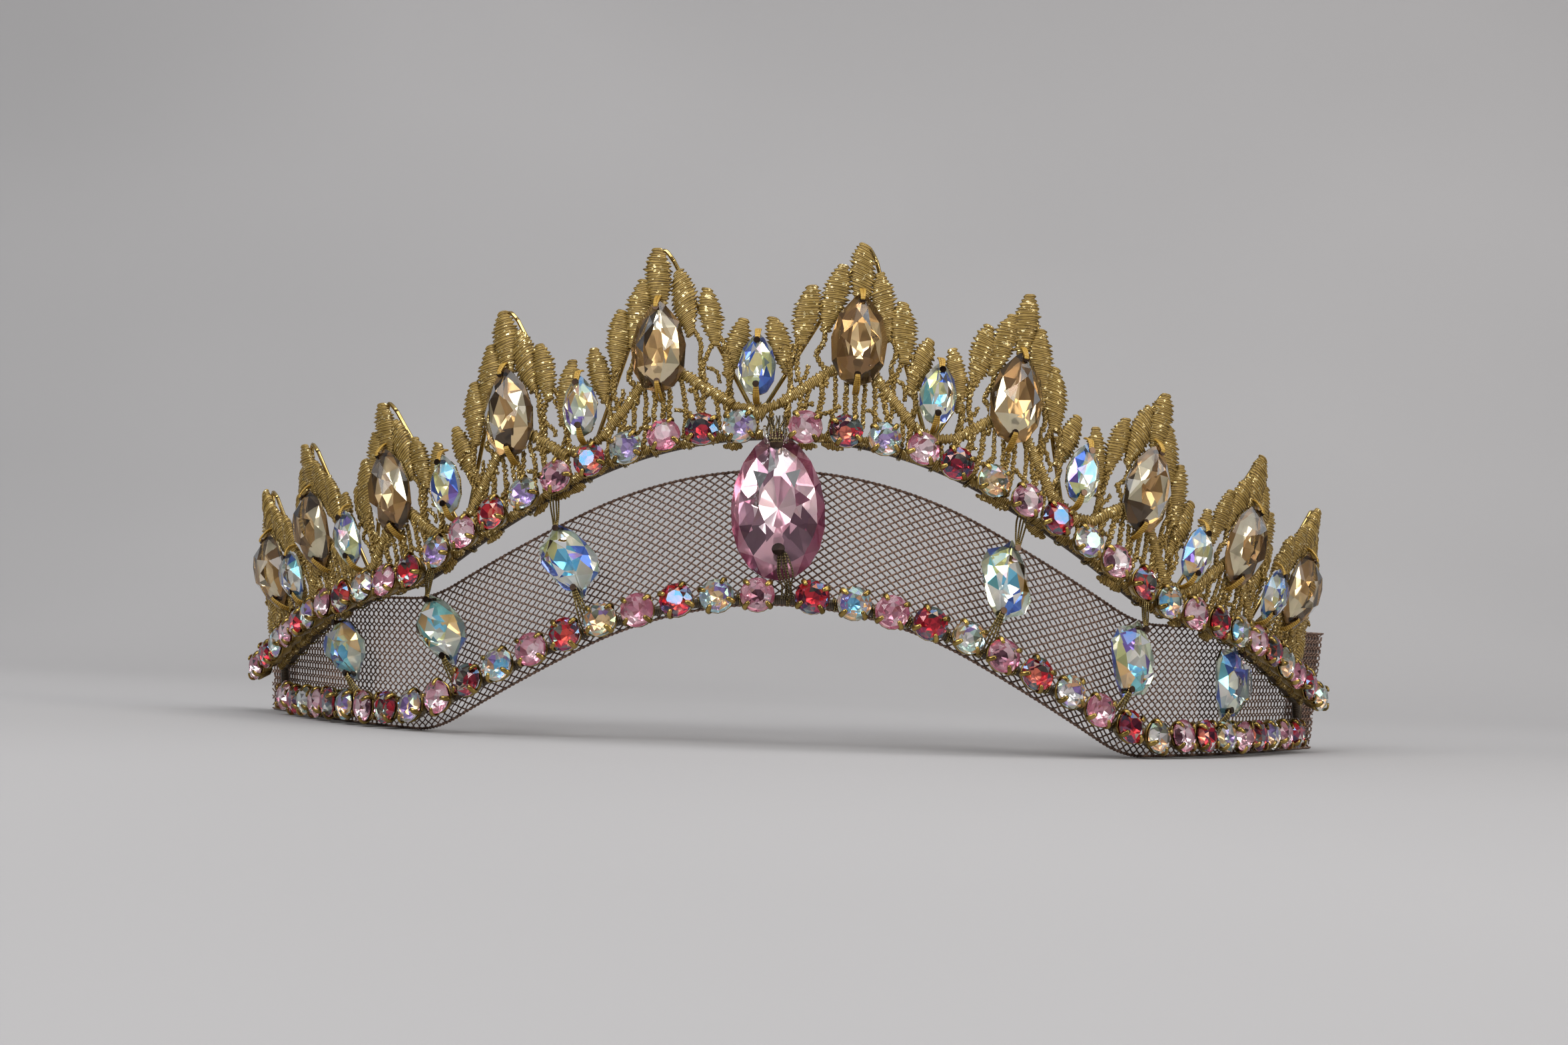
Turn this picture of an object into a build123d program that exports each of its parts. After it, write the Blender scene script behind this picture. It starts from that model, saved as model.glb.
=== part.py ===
from build123d import *
import os
from math import atan2, copysign, cos, degrees, dist, pi, radians, sin, tan

# A wired lace tiara, open at the back, standing on the flat ends of its band.
# Millimetres. +Z is up, the front faces -Y, +X is the wearer's left, and the
# origin is on the floor under the middle of the object.

# Plan of the band: an arc that runs on straight at both ends
PLAN_RADIUS = 106.0
PLAN_TURN = 58.5            # degrees of arc on each side of the middle
ROW_END = 140.0             # plan distance from the middle to the ends of the wires
TAIL_LENGTH = 14.0          # net past the ends of the wires
MIDDLE_DEPTH = 50.2         # front of the plan curve ahead of the origin

# Lean of the wall
FLARE = 11.0                # degrees outwards, all round
TILT_BACK = 24.0            # degrees backwards, the whole crown

# The two rows of round stones
FOOT_HEIGHT = 3.8           # lower row over the floor, where the band is flat
ARCH_RISE = 23.0            # the front of the lower row over its flat ends
ARCH_CROWN = 36.0           # plan distance over which the arch's top bends
ARCH_FOOT = 76.0            # plan distance where it is down
ARCH_BEND = 12.0            # plan distance over which it bends level there
ROW_GAP = 30.0              # height of the upper row over the lower one at the front
END_GAP = 5.6               # the same at the ends of the wires
GAP_POWER = 2.1             # how late the gap closes
UPPER_PITCH = 6.85
LOWER_PITCH = 7.05
UPPER_FIRST_LEFT, UPPER_COUNT_LEFT = -7.9, 21
UPPER_FIRST_RIGHT, UPPER_COUNT_RIGHT = 3.5, 21
LOWER_FIRST_LEFT, LOWER_COUNT_LEFT = -3.7, 19
LOWER_FIRST_RIGHT, LOWER_COUNT_RIGHT = 6.0, 19
COLOURS = ("pink", "red", "crystal")

# Layers, measured outwards from the wall's own surface
CLEARANCE = 0.12
NET_THICKNESS = 1.0
NET_WIDTH = 25.0
NET_SHOW = 1.4              # net under the lower row, at the front
WIRE_DIAMETER = 1.7
LACE_THICKNESS = 1.2
PLATE_LIFT = 0.1            # the lace's plates over the back of its sewn strip
SUPPORT_DIAMETER = 0.9
SUPPORT_GAP = 0.5           # between the support wire and the lace
WIRE_SIDES = 6
ROW_LIFT = 1.1              # the upper cups over the lace
SMALL_LIFT = 0.9            # the small pears over the lace

# Round stone and its four-prong cup
STONE_DIAMETER = 6.2
STONE_SIDES = 10
TABLE_SHARE = 0.55
PAVILION_DEPTH = 2.15
CULET_RADIUS = 0.1
GIRDLE = 0.25
CROWN_HEIGHT = 1.15
CUP_FLOOR = 0.6             # point of the stone over the back of the cup
CUP_WALL = 0.3
CUP_BASE_DIAMETER = 3.8
SEAT_GAP = 0.15
PRONG_WIDTH = 1.0
PRONG_THICKNESS = 0.4
PRONG_REACH = 0.6           # the tip over the stone's edge
PRONGS = 4

# Sewn stones
CENTRE_LENGTH, CENTRE_WIDTH, CENTRE_THICKNESS = 28.0, 17.0, 7.4
LARGE_LENGTH, LARGE_WIDTH, LARGE_THICKNESS = 18.0, 10.5, 4.8
SMALL_LENGTH, SMALL_WIDTH, SMALL_THICKNESS = 12.0, 7.0, 3.6
TWIST_LENGTH, TWIST_WIDTH, TWIST_THICKNESS = 16.0, 10.6, 5.0
PEAR_SIDES = 14
PEAR_TAPER = 0.12           # more width below the middle
PEAR_POINT = 0.8            # sharpness of the narrow end
CENTRE_POINT = 0.3          # the centre pear's
EDGE_THICKNESS = 0.8
HOLE_DIAMETER = 1.3
CENTRE_HOLE_DIAMETER = 2.3
CENTRE_TOP_INSET, CENTRE_LOW_INSET = 3.4, 4.7
HOLE_INSET = 1.9            # hole centre from the stone's end
CENTRE_RAISE = 2.6          # end of the centre pear over the lower row
CENTRE_TURN = 3.5           # degrees that it leans to the wearer's right
LARGE_RAISE = 9.6           # lower end of a large pear over the upper row
SMALL_RAISE = 6.3
TWISTS = (
    # lower stones from the middle, height of the drop's middle as a share of the gap
    (5, 0.47),
    (9, 0.48),
    (13, 0.55),
)
TWIST_LEAN = 6.0            # upper end of its line further out than the lower one
TWIST_HOLE_SIDE = 0.5       # holes beside its axis

# Bundles of brass-coloured thread
BUNDLE_THICKNESS = 0.6
CENTRE_TOP_BUNDLE = 4.2     # widths
CENTRE_LOW_BUNDLE = 2.8
CENTRE_LOW_SIDE = 1.1       # beside the pear's axis, between two stones
DROP_BUNDLE = 0.8

# Facet rings of a sewn stone: size and height, both as shares
RINGS = ((1.0, 0.0), (0.72, 0.66), (0.34, 1.0))

# Half of the twist drop's outline, as shares of its width and length. The
# other half is the same one turned by half a turn.
TWIST_OUTLINE = (
    # across, along
    (-0.10, 0.50),
    (-0.24, 0.37),
    (-0.44, 0.24),
    (-0.50, 0.06),
    (-0.42, -0.14),
    (-0.27, -0.30),
)

# Lace: ten scallops in plan distance from the middle
SCALLOP_PITCH = 26.0
CENTRE_PITCH = 31.5
LACE_SHIFT = -4.95
LACE_TIP = 6.0              # degrees that the lace is bent out from the wall
LACE_SLANT = 12.8           # degrees that the outer scallops lean outwards
SLANT_REACH = 160.0         # plan distance where they would lean that far
SCALLOPS = 10
MODEL_HALF = 13.2           # half pitch that the motif tables are drawn for
PLATE_BAND = 2.6            # width of the strip sewn along the upper row
CORD_WIDTH = 1.0
BAR_WIDTH = 2.2

# Spindle leaves on each side of a scallop's axis
SCALLOP_LEAVES = (
    # foot across, foot up, tip across, tip up, width
    (5.3, 19.4, 3.0, 32.2, 4.6),
    (8.9, 16.0, 7.6, 27.4, 4.4),
)
TIP_LEAF = (0.0, 25.2, 0.0, 37.2, 4.9)
VALLEY_LEAVES = ((4.8, 10.6, 2.3, 21.8, 4.0),)
# Thin cords and bars, again for one side
SCALLOP_CORDS = (
    # from across, from up, to across, to up, width
    (0.0, 16.0, 11.4, 4.4, BAR_WIDTH),
    (5.3, 20.4, 6.4, 14.6, CORD_WIDTH),
    (6.4, 14.6, 4.6, 8.8, CORD_WIDTH),
    (8.7, 17.0, 7.6, 7.0, CORD_WIDTH),
    (5.4, 9.8, 6.0, 0.2, CORD_WIDTH),
)
SCALLOP_STEM = (0.0, 16.0, 0.0, 0.0, CORD_WIDTH)
VALLEY_STEM = (0.0, 4.0, 0.0, 0.0, CORD_WIDTH)
VALLEY_CORDS = (
    (0.0, 4.0, 4.2, 5.6, BAR_WIDTH),
    (4.8, 11.6, 4.2, 5.0, CORD_WIDTH),
    (4.3, 5.4, 4.5, 0.2, CORD_WIDTH),
)
END_LEAVES = (
    (0.6, 2.4, -1.2, 12.4, 3.8),
    (-2.6, 8.6, -4.6, 18.6, 3.8),
)
VALLEY_FOOT = 2.2           # radius of the lace under a small pear
PEAK_LOOP = 1.2             # size of the support wire's loop at a peak
SUPPORT_FOOT = 3.0          # low bends of the support wire over the upper row

SMALL_STEP = 0.05
MARCH = 0.5
STATION_STEP = 9.0


def plan(s):
    """x, y and outward turn of the plan curve at distance s from the middle."""
    side = 1 if s >= 0 else -1
    turn = min(abs(s) / PLAN_RADIUS, radians(PLAN_TURN))
    straight = abs(s) - PLAN_RADIUS * turn
    x = PLAN_RADIUS * sin(turn) + straight * cos(turn)
    y = PLAN_RADIUS * (1 - cos(turn)) + straight * sin(turn) - MIDDLE_DEPTH
    return side * x, y, side * turn


def rise(s):
    """Direction of the wall's upright line at s, one millimetre high."""
    turn = plan(s)[2]
    flare, back = tan(radians(FLARE)), tan(radians(TILT_BACK))
    return Vector(sin(turn) * flare, back - cos(turn) * flare, 1)


def wall(s, height):
    """A point of the wall's surface."""
    x, y, _ = plan(s)
    return Vector(x, y, 0) + rise(s) * height


def smooth(share):
    share = min(max(share, 0.0), 1.0)
    return share * share * (3 - 2 * share)


def lower_row(s):
    """Height of the lower row: a bent top, two straight slopes and level ends."""
    steepest = ARCH_RISE / (ARCH_FOOT - ARCH_CROWN / 2 - ARCH_BEND / 2)
    reach = min(abs(s), ARCH_FOOT)
    top = min(reach, ARCH_CROWN)
    bend = max(reach - (ARCH_FOOT - ARCH_BEND), 0.0)
    run = reach - top + top ** 2 / (2 * ARCH_CROWN) - bend ** 2 / (2 * ARCH_BEND)
    return FOOT_HEIGHT + ARCH_RISE - steepest * run


def upper_row(s):
    """Height of the upper row."""
    closed = min(abs(s) / ROW_END, 1.0) ** GAP_POWER
    return lower_row(s) + ROW_GAP - (ROW_GAP - END_GAP) * closed


def net_edge(s):
    """Height of the net's lower edge."""
    return lower_row(s) - NET_SHOW - (FOOT_HEIGHT - NET_SHOW) * smooth(abs(s) / ARCH_FOOT)


def wall_plane(s, height, stand_off=0.0):
    """Plane at s on a line along the wall: x along the line, z out of the wall."""
    ahead = wall(s + SMALL_STEP, height(s + SMALL_STEP))
    behind = wall(s - SMALL_STEP, height(s - SMALL_STEP))
    along = (ahead - behind).normalized()
    out = along.cross(rise(s)).normalized()
    return Plane(origin=wall(s, height(s)) + out * stand_off, x_dir=along, z_dir=out)


def upright_plane(s, height, stand_off=0.0):
    """The same with y up the wall's own upright line."""
    out = wall_plane(s, height).z_dir
    up = rise(s).normalized()
    return Plane(origin=wall(s, height(s)) + out * stand_off, x_dir=up.cross(out), z_dir=out)


def turned(plane, angle):
    """The plane turned about its own normal, clockwise as seen from the front."""
    across = plane.x_dir * cos(angle) - plane.y_dir * sin(angle)
    return Plane(origin=plane.origin, x_dir=across, z_dir=plane.z_dir)


def moved_up(plane, height):
    return Plane(origin=plane.origin + plane.y_dir * height, x_dir=plane.x_dir, z_dir=plane.z_dir)


def lace_lean(s):
    """Lean of the lace at s, as an angle from the square to the upper row."""
    plane, up = wall_plane(s, upper_row), rise(s)
    upright = atan2(up.dot(plane.x_dir), up.dot(plane.y_dir))
    return upright + copysign(radians(LACE_SLANT) * smooth(abs(s) / SLANT_REACH), s)


def lace_base(s, stand_off=0.0):
    """Plane of the lace at s: on the upper row and bent outwards about it."""
    plane = wall_plane(s, upper_row)
    out = plane.z_dir * cos(radians(LACE_TIP)) - plane.y_dir * sin(radians(LACE_TIP))
    return Plane(origin=plane.origin + out * (PLATE_LIFT + stand_off), x_dir=plane.x_dir, z_dir=out)


def lace_plane(s, stand_off):
    """The same with y along the leaned lace."""
    return turned(lace_base(s, stand_off), lace_lean(s))


def row_distance(height, length):
    """Plan distance at which a row, followed from the middle, is this long."""
    side = 1 if length > 0 else -1
    s, run, step = 0.0, 0.0, 0.0
    while run < abs(length):
        start = wall(side * s, height(s))
        s += MARCH
        step = (wall(side * s, height(s)) - start).length
        run += step
    return side * (s - MARCH * (run - abs(length)) / step)


def row_places(height, pitch, left, left_count, right, right_count):
    """Plan distances of a row's stones, from left to right."""
    lefts = [left - pitch * i for i in reversed(range(left_count))]
    rights = [right + pitch * i for i in range(right_count)]
    return [row_distance(height, length) for length in lefts + rights]


def stations(end, step=STATION_STEP):
    """Evenly spaced plan distances from -end to end."""
    count = 2 * round(end / step)
    return [end * (2 * i / count - 1) for i in range(count + 1)]


def save(piece, name):
    piece.label = name
    export_step(piece, f"parts/{name}.step")


def strip(sections):
    """Solid through closed sections, each given by its corners in one plane."""
    with BuildPart() as solid:
        for corners in sections:
            across = corners[1] - corners[0]
            normal = across.cross(corners[2] - corners[0])
            plane = Plane(origin=corners[0], x_dir=across, z_dir=normal)
            with BuildSketch(plane):
                with BuildLine():
                    Polyline(*[plane.to_local_coords(c) for c in corners], close=True)
                make_face()
        loft(ruled=True)
    return solid.part


def tube(points, outs, diameter):
    """Wire of a few flat sides along points; outs are the directions out of the wall."""
    sections = []
    for i, (point, out) in enumerate(zip(points, outs)):
        before, after = points[max(i - 1, 0)], points[min(i + 1, len(points) - 1)]
        along = (after - before).normalized()
        first = (out - along * out.dot(along)).normalized()
        second = along.cross(first)
        ring = [2 * pi * k / WIRE_SIDES for k in range(WIRE_SIDES)]
        sections.append([point + (first * cos(a) + second * sin(a)) * diameter / 2 for a in ring])
    return strip(sections)


def pear_outline(length, width, point=PEAR_POINT):
    """Corners of a pear with its narrow end up."""
    angles = [2 * pi * i / PEAR_SIDES for i in range(PEAR_SIDES)]
    across = [copysign(abs(sin(a)) ** (1 + point * max(cos(a), 0.0)), sin(a))
              * (1 - PEAR_TAPER * cos(a)) for a in angles]
    widest = max(across)
    return [(width / 2 * x / widest, length / 2 * cos(a)) for a, x in zip(angles, across)]


def twist_outline():
    half = [(x * TWIST_WIDTH, y * TWIST_LENGTH) for x, y in TWIST_OUTLINE]
    return half + [(-x, -y) for x, y in half]


def faceted(rings):
    """Solid with flat facets between closed rings of corners, from the lowest up."""
    count = len(rings[0])
    facets = [Face(Wire.make_polygon(ring)) for ring in (rings[0], rings[-1])]
    for low, high in zip(rings, rings[1:]):
        for i in range(count):
            j = (i + 1) % count
            facets.append(Face(Wire.make_polygon([low[i], low[j], high[j], high[i]])))
    return Solid(Shell(facets))


def sewn_stone(outline, thickness, holes, hole_diameter):
    """Flat-backed cut stone, its back on the plane z = 0, drilled for its thread."""
    crown = thickness - EDGE_THICKNESS
    levels = [(1.0, 0.0)] + [(size, EDGE_THICKNESS + crown * up) for size, up in RINGS]
    with BuildPart() as stone:
        add(faceted([[Vector(x * size, y * size, height) for x, y in outline]
                     for size, height in levels]))
        with Locations(*holes):
            Hole(hole_diameter / 2)
    return stone.part


def placed(piece, planes):
    """Copies of a piece, one on each plane."""
    with BuildPart() as group:
        with Locations(*[plane.location for plane in planes]):
            add(piece)
    return group.part


os.makedirs("parts", exist_ok=True)

LACE_FRONT = LACE_THICKNESS
PEAR_BACK = LACE_FRONT + CLEARANCE
WIRE_CENTRE = -CLEARANCE - WIRE_DIAMETER / 2
NET_FRONT = -2 * CLEARANCE - WIRE_DIAMETER
SUPPORT_CENTRE = -SUPPORT_GAP - SUPPORT_DIAMETER / 2
UPPER_BACK = PEAR_BACK + ROW_LIFT

# Net band: one upright sheet, thick as cloth, flat on the floor at both ends
net_sections = []
for s in stations(ROW_END + TAIL_LENGTH):
    x, y, turn = plan(s)
    outward = Vector(sin(turn), -cos(turn), 0)
    low = wall(s, net_edge(s)) + outward * NET_FRONT
    high = wall(s, net_edge(s) + NET_WIDTH) + outward * NET_FRONT
    back = outward * NET_THICKNESS
    net_sections.append([low - back, low, high, high - back])
save(strip(net_sections), "net_band")


def row_wire(height):
    """Points of a frame wire and the directions out of the wall there."""
    places = stations(ROW_END)
    planes = [wall_plane(s, height, WIRE_CENTRE) for s in places]
    points, outs = [p.origin for p in planes], [p.z_dir for p in planes]
    return points, outs


# Frame wires, the upper one bent down to the lower one at its ends
lower_points, lower_outs = row_wire(lower_row)
save(tube(lower_points, lower_outs, WIRE_DIAMETER), "lower_wire")

upper_points, upper_outs = row_wire(upper_row)
for end in (0, -1):
    drop = lower_points[end] - upper_points[end]
    short = drop.length - WIRE_DIAMETER - CLEARANCE
    bend = upper_points[end] + drop.normalized() * short
    position = 0 if end == 0 else len(upper_points)
    upper_points.insert(position, bend)
    upper_outs.insert(position, upper_outs[end])
save(tube(upper_points, upper_outs, WIRE_DIAMETER), "upper_wire")

# Places of the scallops' axes and of the valleys between them
half_count = SCALLOPS // 2
axes = [CENTRE_PITCH / 2 + SCALLOP_PITCH * i for i in range(half_count)]
scallops = [LACE_SHIFT - a for a in reversed(axes)] + [LACE_SHIFT + a for a in axes]
valleys = [(a + b) / 2 for a, b in zip(scallops, scallops[1:])]
ends = [scallops[0] - SCALLOP_PITCH / 2, scallops[-1] + SCALLOP_PITCH / 2]


def leaf(foot_x, foot_y, tip_x, tip_y, width):
    """Spindle leaf between two points of the sketch."""
    length = dist((foot_x, foot_y), (tip_x, tip_y))
    turn = degrees(atan2(tip_y - foot_y, tip_x - foot_x))
    with Locations(((foot_x + tip_x) / 2, (foot_y + tip_y) / 2)):
        Ellipse(length / 2, width / 2, rotation=turn)


def bar(from_x, from_y, to_x, to_y, width):
    """Round-ended bar between two points of the sketch."""
    length = dist((from_x, from_y), (to_x, to_y))
    turn = degrees(atan2(to_y - from_y, to_x - from_x))
    with Locations(((from_x + to_x) / 2, (from_y + to_y) / 2)):
        SlotCenterToCenter(length, width, rotation=turn)


def motif(draw, rows, lean, stretches=(1,)):
    """Draws table rows, each once for every stretch across, leaned over by an angle."""
    for stretch in stretches:
        for x1, y1, x2, y2, width in rows:
            draw(x1 * stretch + y1 * tan(lean), y1, x2 * stretch + y2 * tan(lean), y2, width)


# Lace crown: flat motif plates around the wall, joined by the sewn strip
edge = stations(ROW_END - UPPER_PITCH / 2)
strip_sections = []
for s in edge:
    plane = wall_plane(s, upper_row)
    corners = ((0, -PLATE_BAND / 2), (LACE_THICKNESS, -PLATE_BAND / 2),
               (LACE_THICKNESS, PLATE_BAND / 2), (0, PLATE_BAND / 2))
    strip_sections.append([plane.origin + plane.z_dir * n + plane.y_dir * v for n, v in corners])

with BuildPart() as lace_crown:
    add(strip(strip_sections))
    for i, s in enumerate(scallops):
        left = (s - scallops[i - 1]) / 2 if i > 0 else SCALLOP_PITCH / 2
        right = (scallops[i + 1] - s) / 2 if i < SCALLOPS - 1 else SCALLOP_PITCH / 2
        halves = (-left / MODEL_HALF, right / MODEL_HALF)
        lean = lace_lean(s)
        with BuildSketch(lace_base(s)):
            motif(leaf, (TIP_LEAF,), lean)
            motif(bar, (SCALLOP_STEM,), lean)
            motif(leaf, SCALLOP_LEAVES, lean, halves)
            motif(bar, SCALLOP_CORDS, lean, halves)
        extrude(amount=LACE_THICKNESS)
    for i, s in enumerate(valleys):
        half = (scallops[i + 1] - scallops[i]) / 2
        halves = (-half / MODEL_HALF, half / MODEL_HALF)
        lean = lace_lean(s)
        with BuildSketch(lace_base(s)):
            motif(bar, (VALLEY_STEM,), lean)
            motif(leaf, VALLEY_LEAVES, lean, halves)
            motif(bar, VALLEY_CORDS, lean, halves)
            with Locations((VALLEY_STEM[1] * tan(lean), VALLEY_STEM[1])):
                Circle(VALLEY_FOOT)
        extrude(amount=LACE_THICKNESS)
    for side, s in zip((-1, 1), ends):
        with BuildSketch(lace_base(s)):
            motif(leaf, END_LEAVES, lace_lean(s), (side,))
        extrude(amount=LACE_THICKNESS)
print("lace solids", len(lace_crown.part.solids()))
save(lace_crown.part, "lace_crown")

# Support wire: a zigzag behind the lace with a small loop at each peak
peak = TIP_LEAF[3]
feet = ends[:1] + valleys
support = []
for foot_s, s in zip(feet, scallops):
    support += [(foot_s, 0.0, SUPPORT_FOOT), (s, -PEAK_LOOP / 2, peak - 2 * PEAK_LOOP),
                (s, PEAK_LOOP / 2, peak), (s, 2 * PEAK_LOOP, peak - 2 * PEAK_LOOP)]
support.append((ends[1], 0.0, SUPPORT_FOOT))
bends = []
for s, across, up in support:
    plane = lace_base(s, SUPPORT_CENTRE)
    bends.append(plane.origin + plane.x_dir * (across + up * tan(lace_lean(s))) + plane.y_dir * up)
with BuildPart() as support_wire:
    for start, end in zip(bends, bends[1:]):
        along = (end - start).normalized()
        overrun = along * SUPPORT_DIAMETER / 3
        with BuildSketch(Plane(origin=start - overrun, z_dir=along)):
            RegularPolygon(SUPPORT_DIAMETER / 2, WIRE_SIDES)
        extrude(amount=(end - start + overrun * 2).length)
save(support_wire.part, "support_wire")

# One round stone and one cup, their backs on the plane z = 0
girdle_low = CUP_FLOOR + PAVILION_DEPTH
girdle_high = girdle_low + GIRDLE
radius = STONE_DIAMETER / 2
levels = ((CULET_RADIUS, CUP_FLOOR), (radius, girdle_low), (radius, girdle_high),
          (radius * TABLE_SHARE, girdle_high + CROWN_HEIGHT))
corners = [2 * pi * i / STONE_SIDES for i in range(STONE_SIDES)]
with BuildPart() as round_stone:
    add(faceted([[Vector(size * cos(a), size * sin(a), height) for a in corners]
                 for size, height in levels]))

with BuildPart() as cup:
    rim_height = girdle_low - 2 * SEAT_GAP
    seat = radius * (rim_height - CUP_FLOOR + SEAT_GAP) / PAVILION_DEPTH
    with BuildSketch(Plane.XZ):
        with BuildLine():
            Polyline((0, 0), (CUP_BASE_DIAMETER / 2, 0), (seat + CUP_WALL, rim_height),
                     (seat, rim_height), (0, CUP_FLOOR - SEAT_GAP), close=True)
        make_face()
    revolve(axis=Axis.Z)
    inner = radius + CLEARANCE
    outer = inner + PRONG_THICKNESS
    crown_slope = CROWN_HEIGHT / (radius * (1 - TABLE_SHARE))
    tip_height = girdle_high + PRONG_REACH * crown_slope + SEAT_GAP
    claw = ((seat + CUP_WALL / 3, rim_height - PRONG_WIDTH), (outer, rim_height - PRONG_WIDTH / 2),
            (outer, tip_height + PRONG_THICKNESS), (radius - PRONG_REACH, tip_height + PRONG_THICKNESS),
            (radius - PRONG_REACH, tip_height), (inner, girdle_high + SEAT_GAP),
            (inner, rim_height), (seat + CUP_WALL / 3, rim_height))
    for i in range(PRONGS):
        prong_plane = Plane.XZ.rotated((0, 0, 360 / PRONGS * (i + 0.5)))
        with BuildSketch(prong_plane):
            with BuildLine():
                Polyline(*claw, close=True)
            make_face()
        extrude(amount=PRONG_WIDTH / 2, both=True)

rows = (
    ("upper_row", upper_row, UPPER_BACK, (UPPER_PITCH, UPPER_FIRST_LEFT, UPPER_COUNT_LEFT,
                                          UPPER_FIRST_RIGHT, UPPER_COUNT_RIGHT)),
    ("lower_row", lower_row, CLEARANCE, (LOWER_PITCH, LOWER_FIRST_LEFT, LOWER_COUNT_LEFT,
                                         LOWER_FIRST_RIGHT, LOWER_COUNT_RIGHT)),
)
for name, height, stand_off, numbers in rows:
    places = row_places(height, *numbers)
    planes = [wall_plane(s, height, stand_off) for s in places]
    save(placed(cup.part, planes), f"{name}_settings")
    for number, colour in enumerate(COLOURS):
        save(placed(round_stone.part, planes[number::len(COLOURS)]), f"{name}_{colour}")


def end_holes(length, top_inset=HOLE_INSET, low_inset=HOLE_INSET):
    return [(0, length / 2 - top_inset), (0, low_inset - length / 2)]


# Sewn stones
centre = sewn_stone(pear_outline(CENTRE_LENGTH, CENTRE_WIDTH, CENTRE_POINT), CENTRE_THICKNESS,
                    end_holes(CENTRE_LENGTH, CENTRE_TOP_INSET, CENTRE_LOW_INSET),
                    CENTRE_HOLE_DIAMETER)
large = sewn_stone(pear_outline(LARGE_LENGTH, LARGE_WIDTH), LARGE_THICKNESS,
                   end_holes(LARGE_LENGTH), HOLE_DIAMETER)
small = sewn_stone(pear_outline(SMALL_LENGTH, SMALL_WIDTH), SMALL_THICKNESS,
                   end_holes(SMALL_LENGTH), HOLE_DIAMETER)
twist_top, twist_low = end_holes(TWIST_LENGTH)
twist = sewn_stone(twist_outline(), TWIST_THICKNESS, [
    (-TWIST_HOLE_SIDE, twist_top[1]), (TWIST_HOLE_SIDE, twist_low[1])], HOLE_DIAMETER)


def bundle(length, thickness, inset, level, reach, width, beside=0.0):
    """Thread from a stone's upper hole over its end, and on to reach if that is further."""
    slope = (thickness - EDGE_THICKNESS) * RINGS[1][1] / (length / 2 * (1 - RINGS[1][0]))
    start = length / 2 - inset
    inner = length / 2 + CLEARANCE
    outer = inner + BUNDLE_THICKNESS
    over = EDGE_THICKNESS + 2 * CLEARANCE
    top = over + slope * inset
    foot = [(outer, level)]
    if reach > outer:
        foot = [(reach, level), (reach, level + BUNDLE_THICKNESS), (outer, level + BUNDLE_THICKNESS)]
    with BuildPart() as thread:
        with BuildSketch(Plane.YZ.offset(beside)):
            with BuildLine():
                Polyline((start, top), (inner, over), (inner, level), *foot,
                         (outer, over + BUNDLE_THICKNESS / 2), (start, top + BUNDLE_THICKNESS),
                         close=True)
            make_face()
        extrude(amount=width / 2, both=True)
    return thread.part


def joined(pieces):
    with BuildPart() as group:
        add(pieces)
    return group.part


foot = moved_up(upright_plane(0.0, lower_row, PEAR_BACK), CENTRE_RAISE)
centre_plane = moved_up(turned(foot, -radians(CENTRE_TURN)), CENTRE_LENGTH / 2)
save(placed(centre, [centre_plane]), "centre_pear")

WALL_LEVEL = CLEARANCE - PEAR_BACK      # just in front of the wires
top_bundle = bundle(CENTRE_LENGTH, CENTRE_THICKNESS, CENTRE_TOP_INSET, CLEARANCE, 0.0,
                    CENTRE_TOP_BUNDLE)
low_bundle = bundle(CENTRE_LENGTH, CENTRE_THICKNESS, CENTRE_LOW_INSET, WALL_LEVEL,
                    CENTRE_LENGTH / 2 + CENTRE_RAISE + WIRE_DIAMETER / 2, CENTRE_LOW_BUNDLE,
                    -CENTRE_LOW_SIDE)
save(joined([placed(top_bundle, [centre_plane]),
             placed(low_bundle, [turned(centre_plane, pi)])]), "centre_threads")

for number, s in enumerate(scallops, 1):
    plane = moved_up(lace_plane(s, PEAR_BACK), LARGE_RAISE + LARGE_LENGTH / 2)
    save(placed(large, [plane]), f"large_pear_{number:02d}")
for number, s in enumerate(valleys, 1):
    plane = moved_up(lace_plane(s, PEAR_BACK + SMALL_LIFT), SMALL_RAISE + SMALL_LENGTH / 2)
    save(placed(small, [plane]), f"small_pear_{number:02d}")


def hanging_plane(low_s, high_s, share):
    """Plane on a line from the lower row to the upper one, and the line's length."""
    low, high = wall(low_s, lower_row(low_s)), wall(high_s, upper_row(high_s))
    line = high - low
    across = line.cross(upright_plane((low_s + high_s) / 2, lower_row).z_dir)
    out = across.cross(line).normalized()
    origin = low + line * share + out * PEAR_BACK
    return Plane(origin=origin, x_dir=across, z_dir=out), line.length


places = row_places(lower_row, *rows[1][3])
middles = [(a + b) / 2 for a, b in zip(places, places[1:])]
hangs = [(LOWER_COUNT_LEFT - 1 - n, share) for n, share in reversed(TWISTS)]
hangs += [(LOWER_COUNT_LEFT - 1 + n, share) for n, share in TWISTS]
drop_bundles = []
for number, (hang, share) in enumerate(hangs, 1):
    low_s = middles[hang]
    high_s = low_s + (TWIST_LEAN if low_s > 0 else -TWIST_LEAN)
    plane, gap = hanging_plane(low_s, high_s, share)
    save(placed(twist, [plane]), f"twist_drop_{number:02d}")
    up = gap * (1 - share) - PLATE_BAND / 2 - DROP_BUNDLE / 2
    down = gap * share - WIRE_DIAMETER / 2
    for end_plane, reach in ((plane, up), (turned(plane, pi), down)):
        piece = bundle(TWIST_LENGTH, TWIST_THICKNESS, HOLE_INSET, WALL_LEVEL, reach, DROP_BUNDLE)
        drop_bundles.append(placed(piece, [end_plane]))
save(joined(drop_bundles), "drop_threads")
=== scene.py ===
from math import atan2, copysign, cos, hypot, pi, radians, sin, tan
from random import Random

import bpy
from mathutils import Matrix, Vector


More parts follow.
